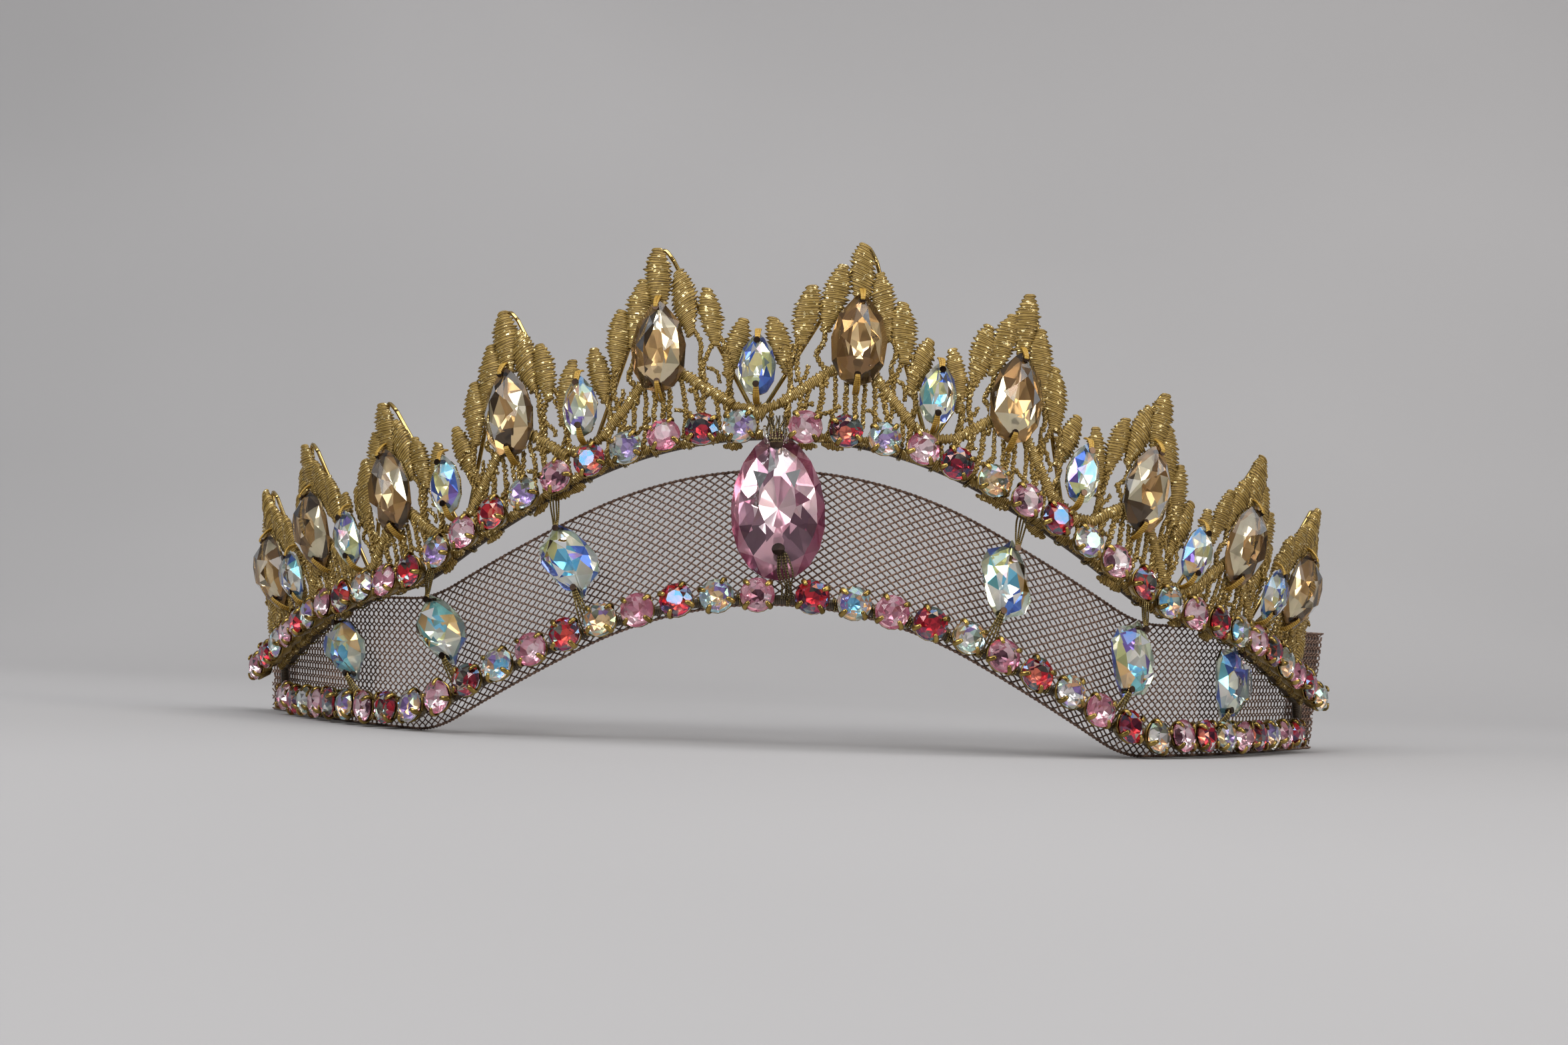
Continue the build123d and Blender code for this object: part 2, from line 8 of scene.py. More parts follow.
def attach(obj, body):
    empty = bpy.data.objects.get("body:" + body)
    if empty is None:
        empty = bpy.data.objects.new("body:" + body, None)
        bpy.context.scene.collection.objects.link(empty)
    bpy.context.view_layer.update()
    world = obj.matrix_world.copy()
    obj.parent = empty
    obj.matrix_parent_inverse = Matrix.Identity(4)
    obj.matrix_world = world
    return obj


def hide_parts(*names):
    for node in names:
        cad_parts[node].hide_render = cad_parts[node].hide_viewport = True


# A wired lace tiara with cut stones. Shapes are worked out in millimetres in
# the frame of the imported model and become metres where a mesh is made.

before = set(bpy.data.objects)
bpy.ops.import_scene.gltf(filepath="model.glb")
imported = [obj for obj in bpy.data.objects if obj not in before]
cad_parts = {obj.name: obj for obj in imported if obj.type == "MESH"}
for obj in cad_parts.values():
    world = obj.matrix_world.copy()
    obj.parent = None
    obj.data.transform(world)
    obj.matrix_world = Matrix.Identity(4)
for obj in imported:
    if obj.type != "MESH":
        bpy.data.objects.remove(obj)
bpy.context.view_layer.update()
MM = 0.001

# Plan of the band and lean of its wall
PLAN_RADIUS = 106.0
PLAN_TURN = radians(58.5)
ROW_END = 140.0
TAIL_LENGTH = 14.0
MIDDLE_DEPTH = 50.2
FLARE = tan(radians(11.0))
TILT_BACK = tan(radians(24.0))

# Heights of the two rows
FOOT_HEIGHT = 3.8
ARCH_RISE, ARCH_CROWN, ARCH_FOOT, ARCH_BEND = 23.0, 36.0, 76.0, 12.0
ROW_GAP, END_GAP, GAP_POWER = 30.0, 5.6, 2.1
UPPER_PITCH, LOWER_PITCH = 6.85, 7.05
UPPER_STONES = (-7.9, 21, 3.5, 21)  # first left, count, first right, count
LOWER_STONES = (-3.7, 19, 6.0, 19)
COLOURS = ("pink", "red", "crystal")

# Layers, outwards from the wall's own surface
CLEARANCE = 0.12
WIRE_RADIUS = 0.85
LACE_THICKNESS = 1.2
PLATE_LIFT = 0.1
SUPPORT_RADIUS = 0.42
NET_WIDTH = 25.0
NET_SHOW = 1.4  # net under the lower row, at the front
NET_THICKNESS = 1.0
PEAR_BACK = LACE_THICKNESS + CLEARANCE
ROW_LIFT = 1.1  # of the upper row's cups over the lace
UPPER_BACK = PEAR_BACK + ROW_LIFT
SMALL_LIFT = 0.9
WIRE_CENTRE = -CLEARANCE - WIRE_RADIUS
NET_FRONT = -2 * CLEARANCE - 2 * WIRE_RADIUS
SUPPORT_CENTRE = -0.95  # the wire runs a little behind the lace

# Sizes of the stones
STONE_RADIUS = 3.1
CUP_FLOOR, PAVILION, GIRDLE, CROWN = 0.6, 2.15, 0.25, 1.15
CENTRE = (28.0, 17.0, 7.4)  # length, width, thickness
LARGE = (18.0, 10.5, 4.8)
SMALL = (12.0, 7.0, 3.6)
TWIST = (16.0, 10.6, 5.0)
EDGE_THICKNESS = 0.8
CENTRE_RAISE, CENTRE_TURN = 2.6, radians(3.5)
CENTRE_TOP_INSET, CENTRE_LOW_INSET = 3.4, 4.7
LARGE_RAISE, SMALL_RAISE = 9.6, 6.3
HOLE_INSET = 1.9
TWIST_LEAN, TWIST_HOLE_SIDE = 6.0, 0.5
TWISTS = ((5, 0.47), (9, 0.48), (13, 0.55))  # lower stones from the middle, share of the gap

# Sizes of the lace
SCALLOP_PITCH, CENTRE_PITCH, LACE_SHIFT = 26.0, 31.5, -4.95
LACE_TIP = radians(6.0)  # bend of the lace outwards from the wall
LACE_SLANT, SLANT_REACH = radians(12.8), 160.0
SCALLOPS = 10
MODEL_HALF = 13.2
PEAK = 37.2
PEAK_LOOP = 1.2


# The wall

def angles(count):
    """Even angles once round a ring."""
    return [2 * pi * k / count for k in range(count)]


class Spot:
    """A place on the wall: x along the line, y up the wall, z outwards."""

    def __init__(self, origin, across, out):
        self.origin = origin
        self.z = out.normalized()
        self.x = (across - self.z * across.dot(self.z)).normalized()
        self.y = self.z.cross(self.x)

    def at(self, x, y, z=0.0):
        return self.origin + self.x * x + self.y * y + self.z * z

    def ring(self, radius, height, count):
        return [self.at(cos(a) * radius, sin(a) * radius, height) for a in angles(count)]

    def turned(self, angle):
        """The spot turned clockwise as seen from the front."""
        return Spot(self.origin, self.x * cos(angle) - self.y * sin(angle), self.z)

    def moved(self, x, y, z=0.0):
        return Spot(self.at(x, y, z), self.x, self.z)

    def tipped(self, across, along):
        """The spot's outward line tipped a little."""
        return Spot(self.origin, self.x, self.z + self.x * across + self.y * along)


def plan(s):
    side = 1 if s >= 0 else -1
    turn = min(abs(s) / PLAN_RADIUS, PLAN_TURN)
    straight = abs(s) - PLAN_RADIUS * turn
    x = PLAN_RADIUS * sin(turn) + straight * cos(turn)
    y = PLAN_RADIUS * (1 - cos(turn)) + straight * sin(turn) - MIDDLE_DEPTH
    return side * x, y, side * turn


def rise(s):
    turn = plan(s)[2]
    return Vector((sin(turn) * FLARE, TILT_BACK - cos(turn) * FLARE, 1))


def wall(s, height):
    x, y, _ = plan(s)
    return Vector((x, y, 0)) + rise(s) * height


def smooth(share):
    share = min(max(share, 0.0), 1.0)
    return share * share * (3 - 2 * share)


def lower_row(s):
    steepest = ARCH_RISE / (ARCH_FOOT - ARCH_CROWN / 2 - ARCH_BEND / 2)
    reach = min(abs(s), ARCH_FOOT)
    top = min(reach, ARCH_CROWN)
    bend = max(reach - (ARCH_FOOT - ARCH_BEND), 0.0)
    run = reach - top + top ** 2 / (2 * ARCH_CROWN) - bend ** 2 / (2 * ARCH_BEND)
    return FOOT_HEIGHT + ARCH_RISE - steepest * run


def upper_row(s):
    closed = min(abs(s) / ROW_END, 1.0) ** GAP_POWER
    return lower_row(s) + ROW_GAP - (ROW_GAP - END_GAP) * closed


def net_edge(s):
    return lower_row(s) - NET_SHOW - (FOOT_HEIGHT - NET_SHOW) * smooth(abs(s) / ARCH_FOOT)


def wall_spot(s, height, stand_off=0.0):
    along = wall(s + 0.05, height(s + 0.05)) - wall(s - 0.05, height(s - 0.05))
    out = along.cross(rise(s)).normalized()
    return Spot(wall(s, height(s)) + out * stand_off, along, out)


def upright_spot(s, height, stand_off=0.0):
    out = wall_spot(s, height).z
    return Spot(wall(s, height(s)) + out * stand_off, rise(s).cross(out), out)


def lace_lean(s):
    spot, up = wall_spot(s, upper_row), rise(s)
    upright = atan2(up.dot(spot.x), up.dot(spot.y))
    return upright + copysign(LACE_SLANT * smooth(abs(s) / SLANT_REACH), s)


def lace_base(s):
    """The lace at s: on the upper row and bent outwards about it."""
    spot = wall_spot(s, upper_row)
    out = spot.z * cos(LACE_TIP) - spot.y * sin(LACE_TIP)
    return Spot(spot.origin + out * PLATE_LIFT, spot.x, out)


def lace_spot(s, stand_off):
    return lace_base(s).moved(0, 0, stand_off).turned(lace_lean(s))


def row_distance(height, length):
    """Plan distance at which a row, followed from the middle, is this long."""
    side, march = (1 if length > 0 else -1), 0.5
    s, run, step = 0.0, 0.0, 0.0
    while run < abs(length):
        start = wall(side * s, height(s))
        s += march
        step = (wall(side * s, height(s)) - start).length
        run += step
    return side * (s - march * (run - abs(length)) / step)


def row_places(height, pitch, left, left_count, right, right_count):
    lefts = [left - pitch * i for i in reversed(range(left_count))]
    rights = [right + pitch * i for i in range(right_count)]
    return [row_distance(height, length) for length in lefts + rights]


upper_places = row_places(upper_row, UPPER_PITCH, *UPPER_STONES)
lower_places = row_places(lower_row, LOWER_PITCH, *LOWER_STONES)
axes = [CENTRE_PITCH / 2 + SCALLOP_PITCH * i for i in range(SCALLOPS // 2)]
scallops = [LACE_SHIFT - a for a in reversed(axes)] + [LACE_SHIFT + a for a in axes]
valleys = [(a + b) / 2 for a, b in zip(scallops, scallops[1:])]
ends = [scallops[0] - SCALLOP_PITCH / 2, scallops[-1] + SCALLOP_PITCH / 2]


# Meshes

def sway(rng, reach):
    """A seeded number between -reach and reach."""
    return rng.uniform(-reach, reach)


def ways(line):
    """The direction of a line at each of its points."""
    last = len(line) - 1
    return [(line[min(i + 1, last)] - line[max(i - 1, 0)]).normalized() for i in range(last + 1)]


def frames(line):
    """Each point of a line with two directions across it, carried along without a twist."""
    found, first = [], None
    for point, along in zip(line, ways(line)):
        if first is None:
            first = Vector((0, 0, 1)) if abs(along.z) < 0.9 else Vector((1, 0, 0))
        first = (first - along * first.dot(along)).normalized()
        found.append((point, first, along.cross(first)))
    return found


def show(name, data):
    """A new object of the scene."""
    thing = bpy.data.objects.new(name, data)
    bpy.context.scene.collection.objects.link(thing)
    return thing


class Shape:
    """Points and faces of one piece, in millimetres, with a UV map and a tone for each face."""

    def __init__(self):
        self.points, self.faces, self.slots, self.tones, self.uvs = [], [], [], [], []

    def add(self, points):
        start = len(self.points)
        self.points += points
        return list(range(start, start + len(points)))

    def face(self, corners, slot=0, tone=(1, 1, 1), uv=None):
        self.faces.append(corners)
        self.slots.append(slot)
        self.tones.append(tone)
        self.uvs.append(uv or [(0.0, 0.0)] * len(corners))

    def rings(self, rings, slot=0, step=None):
        """Joins rings of equal count and closes both ends. UVs: u once around, v in millimetres along;
        step is the way between two rings, where it isn't measured."""
        count = len(rings[0])
        ids = [self.add(ring) for ring in rings]
        run = 0.0
        for a, b in zip(ids, ids[1:]):
            way = step or (self.points[b[0]] - self.points[a[0]]).length
            for i in range(count):
                j = (i + 1) % count
                u, w = i / count, (i + 1) / count
                corners = [(u, run), (w, run), (w, run + way), (u, run + way)]
                self.face([a[i], a[j], b[j], b[i]], slot, uv=corners)
            run += way
        for ring in (ids[0][::-1], ids[-1]):
            self.face(ring, slot, uv=[(0.5, run)] * count)

    def tube(self, line, radius, sides=6, slot=0):
        """A round tube along a line; radius is a number or a function of the share along it."""
        last = len(line) - 1
        rings = []
        for i, (point, first, second) in enumerate(frames(line)):
            size = radius(i / last) if callable(radius) else radius
            rings.append([point + first * (cos(a) * size) + second * (sin(a) * size) for a in angles(sides)])
        self.rings(rings, slot)

    def make(self, name, materials, flat_shading=False):
        mesh = bpy.data.meshes.new(name)
        mesh.from_pydata([p * MM for p in self.points], [], self.faces)
        for material in materials:
            mesh.materials.append(material)
        mesh.polygons.foreach_set("material_index", self.slots)
        layer = mesh.uv_layers.new(name="thread")
        layer.data.foreach_set("uv", [c for uv in self.uvs for corner in uv for c in corner])
        tone = mesh.color_attributes.new("tone", "FLOAT_COLOR", "CORNER")
        tone.data.foreach_set("color", [c for face, t in zip(self.faces, self.tones)
                                        for _ in face for c in (*t, 1.0)])
        mesh.polygons.foreach_set("use_smooth", [not flat_shading] * len(self.faces))
        mesh.update()
        piece = show(name, mesh)
        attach(piece, "root")
        return piece


def spline(p0, p1, p2, p3, t):
    """The point at the share t between p1 and p2, on a smooth line through all four."""
    return 0.5 * (2 * p1 + (p2 - p0) * t + (2 * p0 - 5 * p1 + 4 * p2 - p3) * t * t
                  + (3 * p1 - p0 - 3 * p2 + p3) * t ** 3)


def curve(points, count):
    """Points of a smooth line through the given ones."""
    line = []
    last = len(points) - 1
    for i in range(last):
        four = (points[max(i - 1, 0)], points[i], points[i + 1], points[min(i + 2, last)])
        line += [spline(*four, k / count) for k in range(count)]
    return line + [points[-1]]


def twisted(shape, line, radius, rng, pitch, strands=2, swell=0.40):
    """Uneven strands twisted round each other along a line; swell is the height of their knots."""
    run, turn = 0.0, rng.uniform(0, 2 * pi)
    paths = [[] for _ in range(strands)]
    for i, (point, first, second) in enumerate(frames(line)):
        if i:
            run += (point - line[i - 1]).length
        for k, path in enumerate(paths):
            a = 2 * pi * (run / pitch + k / strands) + turn
            path.append(point + (first * cos(a) + second * sin(a)) * (radius / 2))
    for path in paths:
        knots, start = run / rng.uniform(0.9, 1.3), rng.uniform(0, 2 * pi)
        shape.tube(path, lambda share: radius / 2 * (1 + swell * sin(start + 2 * pi * knots * share)), 5)


# Materials

def new_material(name):
    material = bpy.data.materials.new(name)
    material.use_nodes = True
    nodes = material.node_tree.nodes
    return material, nodes, nodes["Principled BSDF"]


def put(node, values):
    """Sets a node's sockets."""
    for socket, value in values.items():
        node.inputs[socket].default_value = value
    return node


def join(source, output, target, socket):
    source.id_data.links.new(source.outputs[output], target.inputs[socket])


def ramp(nodes, stops, source, output):
    """Colours by a node's output."""
    node = nodes.new("ShaderNodeValToRGB")
    elements = node.color_ramp.elements
    while len(elements) < len(stops):
        elements.new(0.5)
    for element, (place, colour) in zip(elements, stops):
        element.position = place
        element.color = (*colour, 1.0)
    join(source, output, node, "Fac")
    return node


def noise(nodes, scale, detail=2.0):
    """Noise over the piece's own coordinates."""
    node = put(nodes.new("ShaderNodeTexNoise"), {"Scale": scale, "Detail": detail})
    join(nodes.new("ShaderNodeTexCoord"), "Object", node, "Vector")
    return node


def drive(nodes, source, output, low, high, shader, socket):
    """Runs a socket from low to high as the source runs from 0 to 1."""
    share = put(nodes.new("ShaderNodeMapRange"), {"To Min": low, "To Max": high})
    join(source, output, share, "Value")
    join(share, "Result", shader, socket)


def relief(nodes, source, output, strength, height, shader):
    bump = put(nodes.new("ShaderNodeBump"), {"Strength": strength, "Distance": height * MM})
    join(source, output, bump, "Height")
    join(bump, "Normal", shader, "Normal")


BAND_SCALE = 0.314  # scale of a wave texture with one band in each unit
GRAIN_SCALE = 2300.0
GRAIN_LOW, GRAIN_HIGH = 0.80, 0.84  # only grains whose chance lies past these are foil


def thread_material(name, dark, middle, bright, metallic, roughness, pitch=0.3, height=0.6, glint=None):
    """Wound thread: fine lines across the piece, and grains of metal foil where a glint colour is given."""
    material, nodes, shader = new_material(name)
    where = nodes.new("ShaderNodeUVMap")
    where.uv_map = "thread"
    wave = nodes.new("ShaderNodeTexWave")
    wave.bands_direction = "Y"
    put(wave, {"Scale": BAND_SCALE / pitch, "Distortion": 3.0, "Detail": 2.0, "Detail Scale": 1.6})
    join(where, "UV", wave, "Vector")
    mix = put(nodes.new("ShaderNodeMix"), {0: 0.5})
    join(noise(nodes, 900.0, 4.0), "Fac", mix, 2)
    join(wave, "Fac", mix, 3)
    # The colour follows the same mix as the bump: painted shade in the grooves between turns of thread and a
    # painted highlight on their ridges, over the thread's own uneven tone.
    colours = ramp(nodes, ((0.18, dark), (0.50, middle), (0.82, bright)), mix, 0)
    put(shader, {"Metallic": metallic, "Roughness": roughness})
    if glint:
        grains = put(nodes.new("ShaderNodeTexVoronoi"), {"Scale": GRAIN_SCALE})
        join(nodes.new("ShaderNodeTexCoord"), "Object", grains, "Vector")
        chosen = put(nodes.new("ShaderNodeMapRange"), {"From Min": GRAIN_LOW, "From Max": GRAIN_HIGH})
        join(grains, "Color", chosen, "Value")
        foil_colour = nodes.new("ShaderNodeMix")
        foil_colour.data_type = "RGBA"
        put(foil_colour, {7: (*glint, 1.0)})
        join(chosen, "Result", foil_colour, 0)
        join(colours, "Color", foil_colour, 6)
        join(foil_colour, 2, shader, "Base Color")
        drive(nodes, chosen, "Result", metallic, 1.0, shader, "Metallic")
        drive(nodes, chosen, "Result", roughness, 0.22, shader, "Roughness")
    else:
        join(colours, "Color", shader, "Base Color")
    relief(nodes, mix, 0, height, 0.12, shader)
    return material


def metal_material(name, dark, bright, roughness):
    """Stamped or drawn metal, darker where it has tarnished."""
    material, nodes, shader = new_material(name)
    tarnish = noise(nodes, 260.0, 6.0)
    colours = ramp(nodes, ((0.32, dark), (0.62, bright)), tarnish, "Fac")
    join(colours, "Color", shader, "Base Color")
    drive(nodes, tarnish, "Fac", roughness * 0.6, roughness * 1.6, shader, "Roughness")
    put(shader, {"Metallic": 1.0})
    relief(nodes, tarnish, "Fac", 0.25, 0.06, shader)
    return material


def glass_material(name, colour, film=0.0, index=1.3):
    """Clear cut glass with faint polish marks; film is a coating's thickness in nanometres."""
    material, nodes, shader = new_material(name)
    drive(nodes, noise(nodes, 900.0), "Fac", 0.0, 0.03, shader, "Roughness")
    put(shader, {"Base Color": (*colour, 1.0), "Transmission Weight": 1.0, "IOR": index,
                 "Coat Weight": 0.4, "Coat Roughness": 0.01})
    if film:
        put(shader, {"Thin Film Thickness": film, "Thin Film IOR": 1.65})
    return material


def foil_material(name):
    """Mirror foil behind a stone; each facet has its own tone, with painted reflections and painted shade
    mixed into the stone's colour.
    """
    material, nodes, shader = new_material(name)
    tone = nodes.new("ShaderNodeVertexColor")
    tone.layer_name = "tone"
    mix = nodes.new("ShaderNodeMix")
    mix.data_type = "RGBA"
    mix.blend_type = "MULTIPLY"
    put(mix, {0: 0.12})
    join(tone, "Color", mix, 6)
    join(noise(nodes, 700.0), "Color", mix, 7)
    join(mix, 2, shader, "Base Color")
    put(shader, {"Metallic": 0.6, "Roughness": 0.12})
    return material


# In each wound thread below, the dark colour is painted shade in the grooves and the bright colour a painted
# highlight on the ridges; the middle colour is the thread's own.
lace_thread = thread_material(
    "gold_lace", (0.085, 0.048, 0.009), (0.31, 0.192, 0.040), (0.60, 0.41, 0.12), 0.3, 0.46, 0.34, 1.0,
    (1.0, 0.80, 0.40))
brass = metal_material("brass_cups", (0.13, 0.085, 0.022), (0.48, 0.33, 0.095), 0.26)
gold_wire = metal_material("gold_wire", (0.42, 0.28, 0.08), (0.72, 0.52, 0.20), 0.16)
brass_thread = thread_material(
    "brass_thread", (0.070, 0.048, 0.016), (0.23, 0.165, 0.055), (0.50, 0.38, 0.15), 0.8, 0.24, 0.5, 0.3)
dark_thread = thread_material(
    "dark_thread", (0.028, 0.020, 0.012), (0.095, 0.068, 0.032), (0.34, 0.26, 0.12), 0.75, 0.26, 0.5, 0.3)
amber_thread = thread_material(
    "amber_thread", (0.28, 0.14, 0.014), (0.55, 0.32, 0.045), (0.80, 0.54, 0.12), 0.2, 0.42, 0.4, 0.3)
net_strand = thread_material(
    "brown_net", (0.075, 0.038, 0.024), (0.185, 0.104, 0.070), (0.33, 0.208, 0.148), 0.0, 0.40, 0.8, 0.2)
dark_wire = thread_material(
    "dark_wire", (0.022, 0.015, 0.010), (0.075, 0.052, 0.030), (0.17, 0.12, 0.07), 0.15, 0.5, 0.35, 0.7)
# Near-black material of the drill holes: painted shade inside the bore and on its rim.
hole_glass = metal_material("drill_hole", (0.030, 0.018, 0.014), (0.10, 0.065, 0.045), 0.25)
clear_tube = glass_material("clear_thread", (0.97, 0.96, 0.95), index=1.45)
foil = foil_material("foil_back")
pink_glass = glass_material("pink", (1.0, 0.90, 0.92))
red_glass = glass_material("red", (1.0, 0.52, 0.50), film=205.0)
crystal_glass = glass_material("crystal", (0.98, 0.99, 1.0), film=250.0)
rose_glass = glass_material("pink_pear", (1.0, 0.88, 0.91))
golden_glass = glass_material("golden", (1.0, 0.87, 0.68))
rainbow_glass = glass_material("rainbow", (0.98, 0.99, 1.0), film=215.0)

# Tones of the foiled facets: in the middle, in the star round it and along the edge.
# Beside each stone's colour and its coating's colours they hold painted light: the near-white tones are
# painted reflections, the darkest ones painted shade, and in the pink, rose and golden stones the edge
# tones run darker as painted shade.
PINK_TONES = (
    ((0.16, 0.07, 0.10), (1.0, 0.84, 0.88), (0.80, 0.42, 0.52)),
    ((0.98, 0.78, 0.83), (0.90, 0.55, 0.64), (1.0, 0.90, 0.92), (0.62, 0.28, 0.37)),
    ((0.80, 0.30, 0.42), (0.60, 0.18, 0.28), (0.95, 0.62, 0.70)),
)
RED_TONES = (
    ((0.95, 0.22, 0.16), (0.66, 0.04, 0.07), (0.98, 0.50, 0.34), (0.34, 0.02, 0.05)),
    ((0.55, 0.02, 0.05), (0.14, 0.02, 0.04), (0.25, 0.50, 0.44), (0.85, 0.08, 0.10), (0.10, 0.16, 0.12)),
    ((0.50, 0.03, 0.06), (0.85, 0.12, 0.12), (0.14, 0.03, 0.05), (0.20, 0.52, 0.52)),
)
CRYSTAL_TONES = (
    ((1.0, 1.0, 0.98), (0.20, 0.62, 0.95), (0.95, 0.72, 0.40), (0.60, 0.46, 0.85)),
    ((0.95, 0.98, 1.0), (0.30, 0.32, 0.24), (0.98, 0.58, 0.32), (0.42, 0.28, 0.72), (0.62, 0.86, 0.80)),
    ((0.80, 0.84, 0.76), (0.98, 0.55, 0.25), (0.22, 0.22, 0.18), (0.50, 0.78, 0.88)),
)
ROSE_TONES = (
    ((1.0, 0.80, 0.82), (0.98, 0.88, 0.90), (0.72, 0.44, 0.52)),
    ((0.96, 0.76, 0.80), (0.26, 0.15, 0.20), (1.0, 0.92, 0.94), (0.84, 0.55, 0.62), (0.52, 0.32, 0.40)),
    ((0.50, 0.14, 0.24), (0.80, 0.42, 0.52), (0.34, 0.09, 0.17), (0.64, 0.22, 0.34)),
)
GOLDEN_TONES = (
    ((0.98, 0.82, 0.56), (0.50, 0.34, 0.17), (0.80, 0.58, 0.32)),
    ((0.98, 0.84, 0.60), (0.30, 0.18, 0.08), (0.80, 0.80, 0.70), (0.52, 0.34, 0.16), (0.09, 0.065, 0.045)),
    ((0.22, 0.13, 0.06), (0.48, 0.31, 0.14), (0.10, 0.07, 0.04)),
)
RAINBOW_TONES = (
    ((0.22, 0.66, 0.98), (1.0, 1.0, 0.94), (0.96, 0.90, 0.45), (0.90, 0.97, 0.86)),
    ((0.34, 0.22, 0.78), (0.98, 0.98, 0.92), (0.10, 0.20, 0.78), (0.84, 0.88, 0.40), (0.98, 0.66, 0.30),
     (0.96, 0.97, 0.80), (0.30, 0.80, 0.90)),
    ((0.62, 0.74, 0.62), (0.34, 0.40, 0.38), (0.82, 0.90, 0.72), (0.14, 0.20, 0.66), (0.90, 0.92, 0.84)),
)


# The stones

def pear_outline(angle, length, width, point=0.8):
    """A point of a pear's outline; angle 0 is its narrow end."""
    across = copysign(abs(sin(angle)) ** (1 + point * max(cos(angle), 0.0)), sin(angle))
    return Vector((width / 2 * across * (1 - 0.12 * cos(angle)) / 1.01, length / 2 * cos(angle), 0))


def egg_outline(angle, length, width):
    """The centre stone's, blunter at its narrow end."""
    return pear_outline(angle, length, width, 0.3)


def round_outline(angle, length, width):
    return Vector((width / 2 * sin(angle), length / 2 * cos(angle), 0))


TWIST_OUTLINE = ((-0.12, 0.50), (-0.24, 0.38), (-0.49, 0.27), (-0.53, 0.08), (-0.38, -0.12), (-0.20, -0.31))


def twist_outline(angle, length, width):
    """A drop whose two pointed ends lean to opposite sides."""
    half = [Vector((x * width, y * length, 0)) for x, y in TWIST_OUTLINE]
    corners = half + [-p for p in half]
    place = (1 - angle / (2 * pi)) * len(corners) % len(corners)
    i = int(place)
    return spline(*(corners[(i + k - 1) % len(corners)] for k in range(4)), place - i)


FACET_RINGS = (0.77, 0.40)  # shares of the outline for the foil's outer and inner ring


def cut_stone(shape, spot, outline, size, crown, pavilion, sides, tones, rng, turn=0.0, shift=0.0):
    """A cut stone: clear crown in slot 0 and foiled facets behind it in slot 1.

    crown has a share of the outline and a height for the table and for the ring round it, pavilion
    has the heights of the edge, the outer ring, the inner ring and the middle."""
    (table, top), (ring, ring_height) = crown
    edge_high, edge_low, outer_height, inner_height, middle_height = pavilion
    length, width = size
    middle_tones, star_tones, rim_tones = tones
    outer_share, inner_share = FACET_RINGS

    def ring_points(share, height, offset=0.0, count=sides):
        made = []
        for i in range(count):
            p = outline(2 * pi * (i + offset) / count + turn, length, width) * share
            made.append(spot.at(p.x, p.y + shift * (1 - share), height))
        return made

    flat = shape.add(ring_points(table, top))
    mid = shape.add(ring_points(ring, ring_height, 0.5))
    upper = shape.add(ring_points(1.0, edge_high, 0.0, 2 * sides))
    lower = shape.add(ring_points(1.0, edge_low, 0.0, 2 * sides))
    outer = shape.add(ring_points(outer_share, outer_height))
    inner = shape.add(ring_points(inner_share, inner_height, 0.5))
    middle = shape.add([spot.at(0, shift, middle_height)])[0]
    shape.face(flat[::-1])
    for i in range(sides):
        j, before = (i + 1) % sides, (i - 1) % sides
        k = (2 * i + 2) % (2 * sides)
        shape.face([flat[j], flat[i], mid[i]])
        shape.face([flat[i], mid[before], upper[2 * i], mid[i]][::-1])
        shape.face([mid[i], upper[2 * i], upper[2 * i + 1]][::-1])
        shape.face([mid[i], upper[2 * i + 1], upper[k]][::-1])
        if i % 2 == 0:
            middle_tone = rng.choice(middle_tones)
        star = rng.choice(star_tones)
        shape.face([middle, inner[before], inner[i]], 1, middle_tone)
        shape.face([inner[before], outer[i], inner[i]], 1, star)
        shape.face([inner[i], outer[i], outer[j]], 1, star)
        rim = rng.choice(rim_tones)
        shape.face([outer[i], lower[2 * i], lower[2 * i + 1]], 1, rim)
        shape.face([outer[i], lower[2 * i + 1], outer[j]], 1, rng.choice(rim_tones))
        shape.face([outer[j], lower[2 * i + 1], lower[k]], 1, rim)
    for i in range(2 * sides):
        j = (i + 1) % (2 * sides)
        shape.face([upper[i], upper[j], lower[j], lower[i]][::-1])


def drill_hole(shape, spot, radius, height):
    """Bore of a sewn stone with a ground rim, in slot 2; both are painted near black as the shade inside the
    hole.
    """
    for r, low, high in ((radius, 0.35, height), (radius * 1.25, height - 0.1, height + 0.12)):
        shape.rings([spot.ring(r, low, 12), spot.ring(r, high, 12)], 2)


TABLE, SHOULDER = 0.40, 0.70  # shares of a sewn stone's outline
SHOULDER_RISE = 0.60  # share of its crown's height


def sewn_stone(name, node, spot, outline, size, glass, tones, rng, sides=6,
               insets=(HOLE_INSET, HOLE_INSET), hole=0.5, aside=0.0):
    """A flat-backed stone with two drill holes; aside moves them off its middle line."""
    length, width, thickness = size
    rise_up = (thickness - EDGE_THICKNESS) * SHOULDER_RISE
    shape = Shape()
    cut_stone(shape, spot, outline, (length, width),
              ((TABLE, thickness), (SHOULDER, EDGE_THICKNESS + rise_up)),
              (EDGE_THICKNESS, 0.35, 0.45, EDGE_THICKNESS + (thickness - EDGE_THICKNESS) * 0.22, 0.55),
              sides, tones, rng, shift=-length * 0.04)
    for sign, inset in zip((1, -1), insets):
        share = min(2 * inset / length / (1 - SHOULDER), 1.0)
        drill_hole(shape, spot.moved(-sign * aside, sign * (length / 2 - inset)), hole,
                   EDGE_THICKNESS + rise_up * share)
    piece = shape.make(name, [glass, foil, hole_glass], flat_shading=True)
    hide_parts(node)


CLAW_HALF_THICKNESS = 0.23
# The cup's section as radius and height, from its floor up the outside and down the inside
CUP_PROFILE = ((1.4, 0.02), (1.95, 0.0), (2.15, 0.35), (2.55, 1.1), (3.05, 1.95), (3.12, 2.3), (2.85, 2.38),
               (2.2, 1.6), (1.4, 0.5))


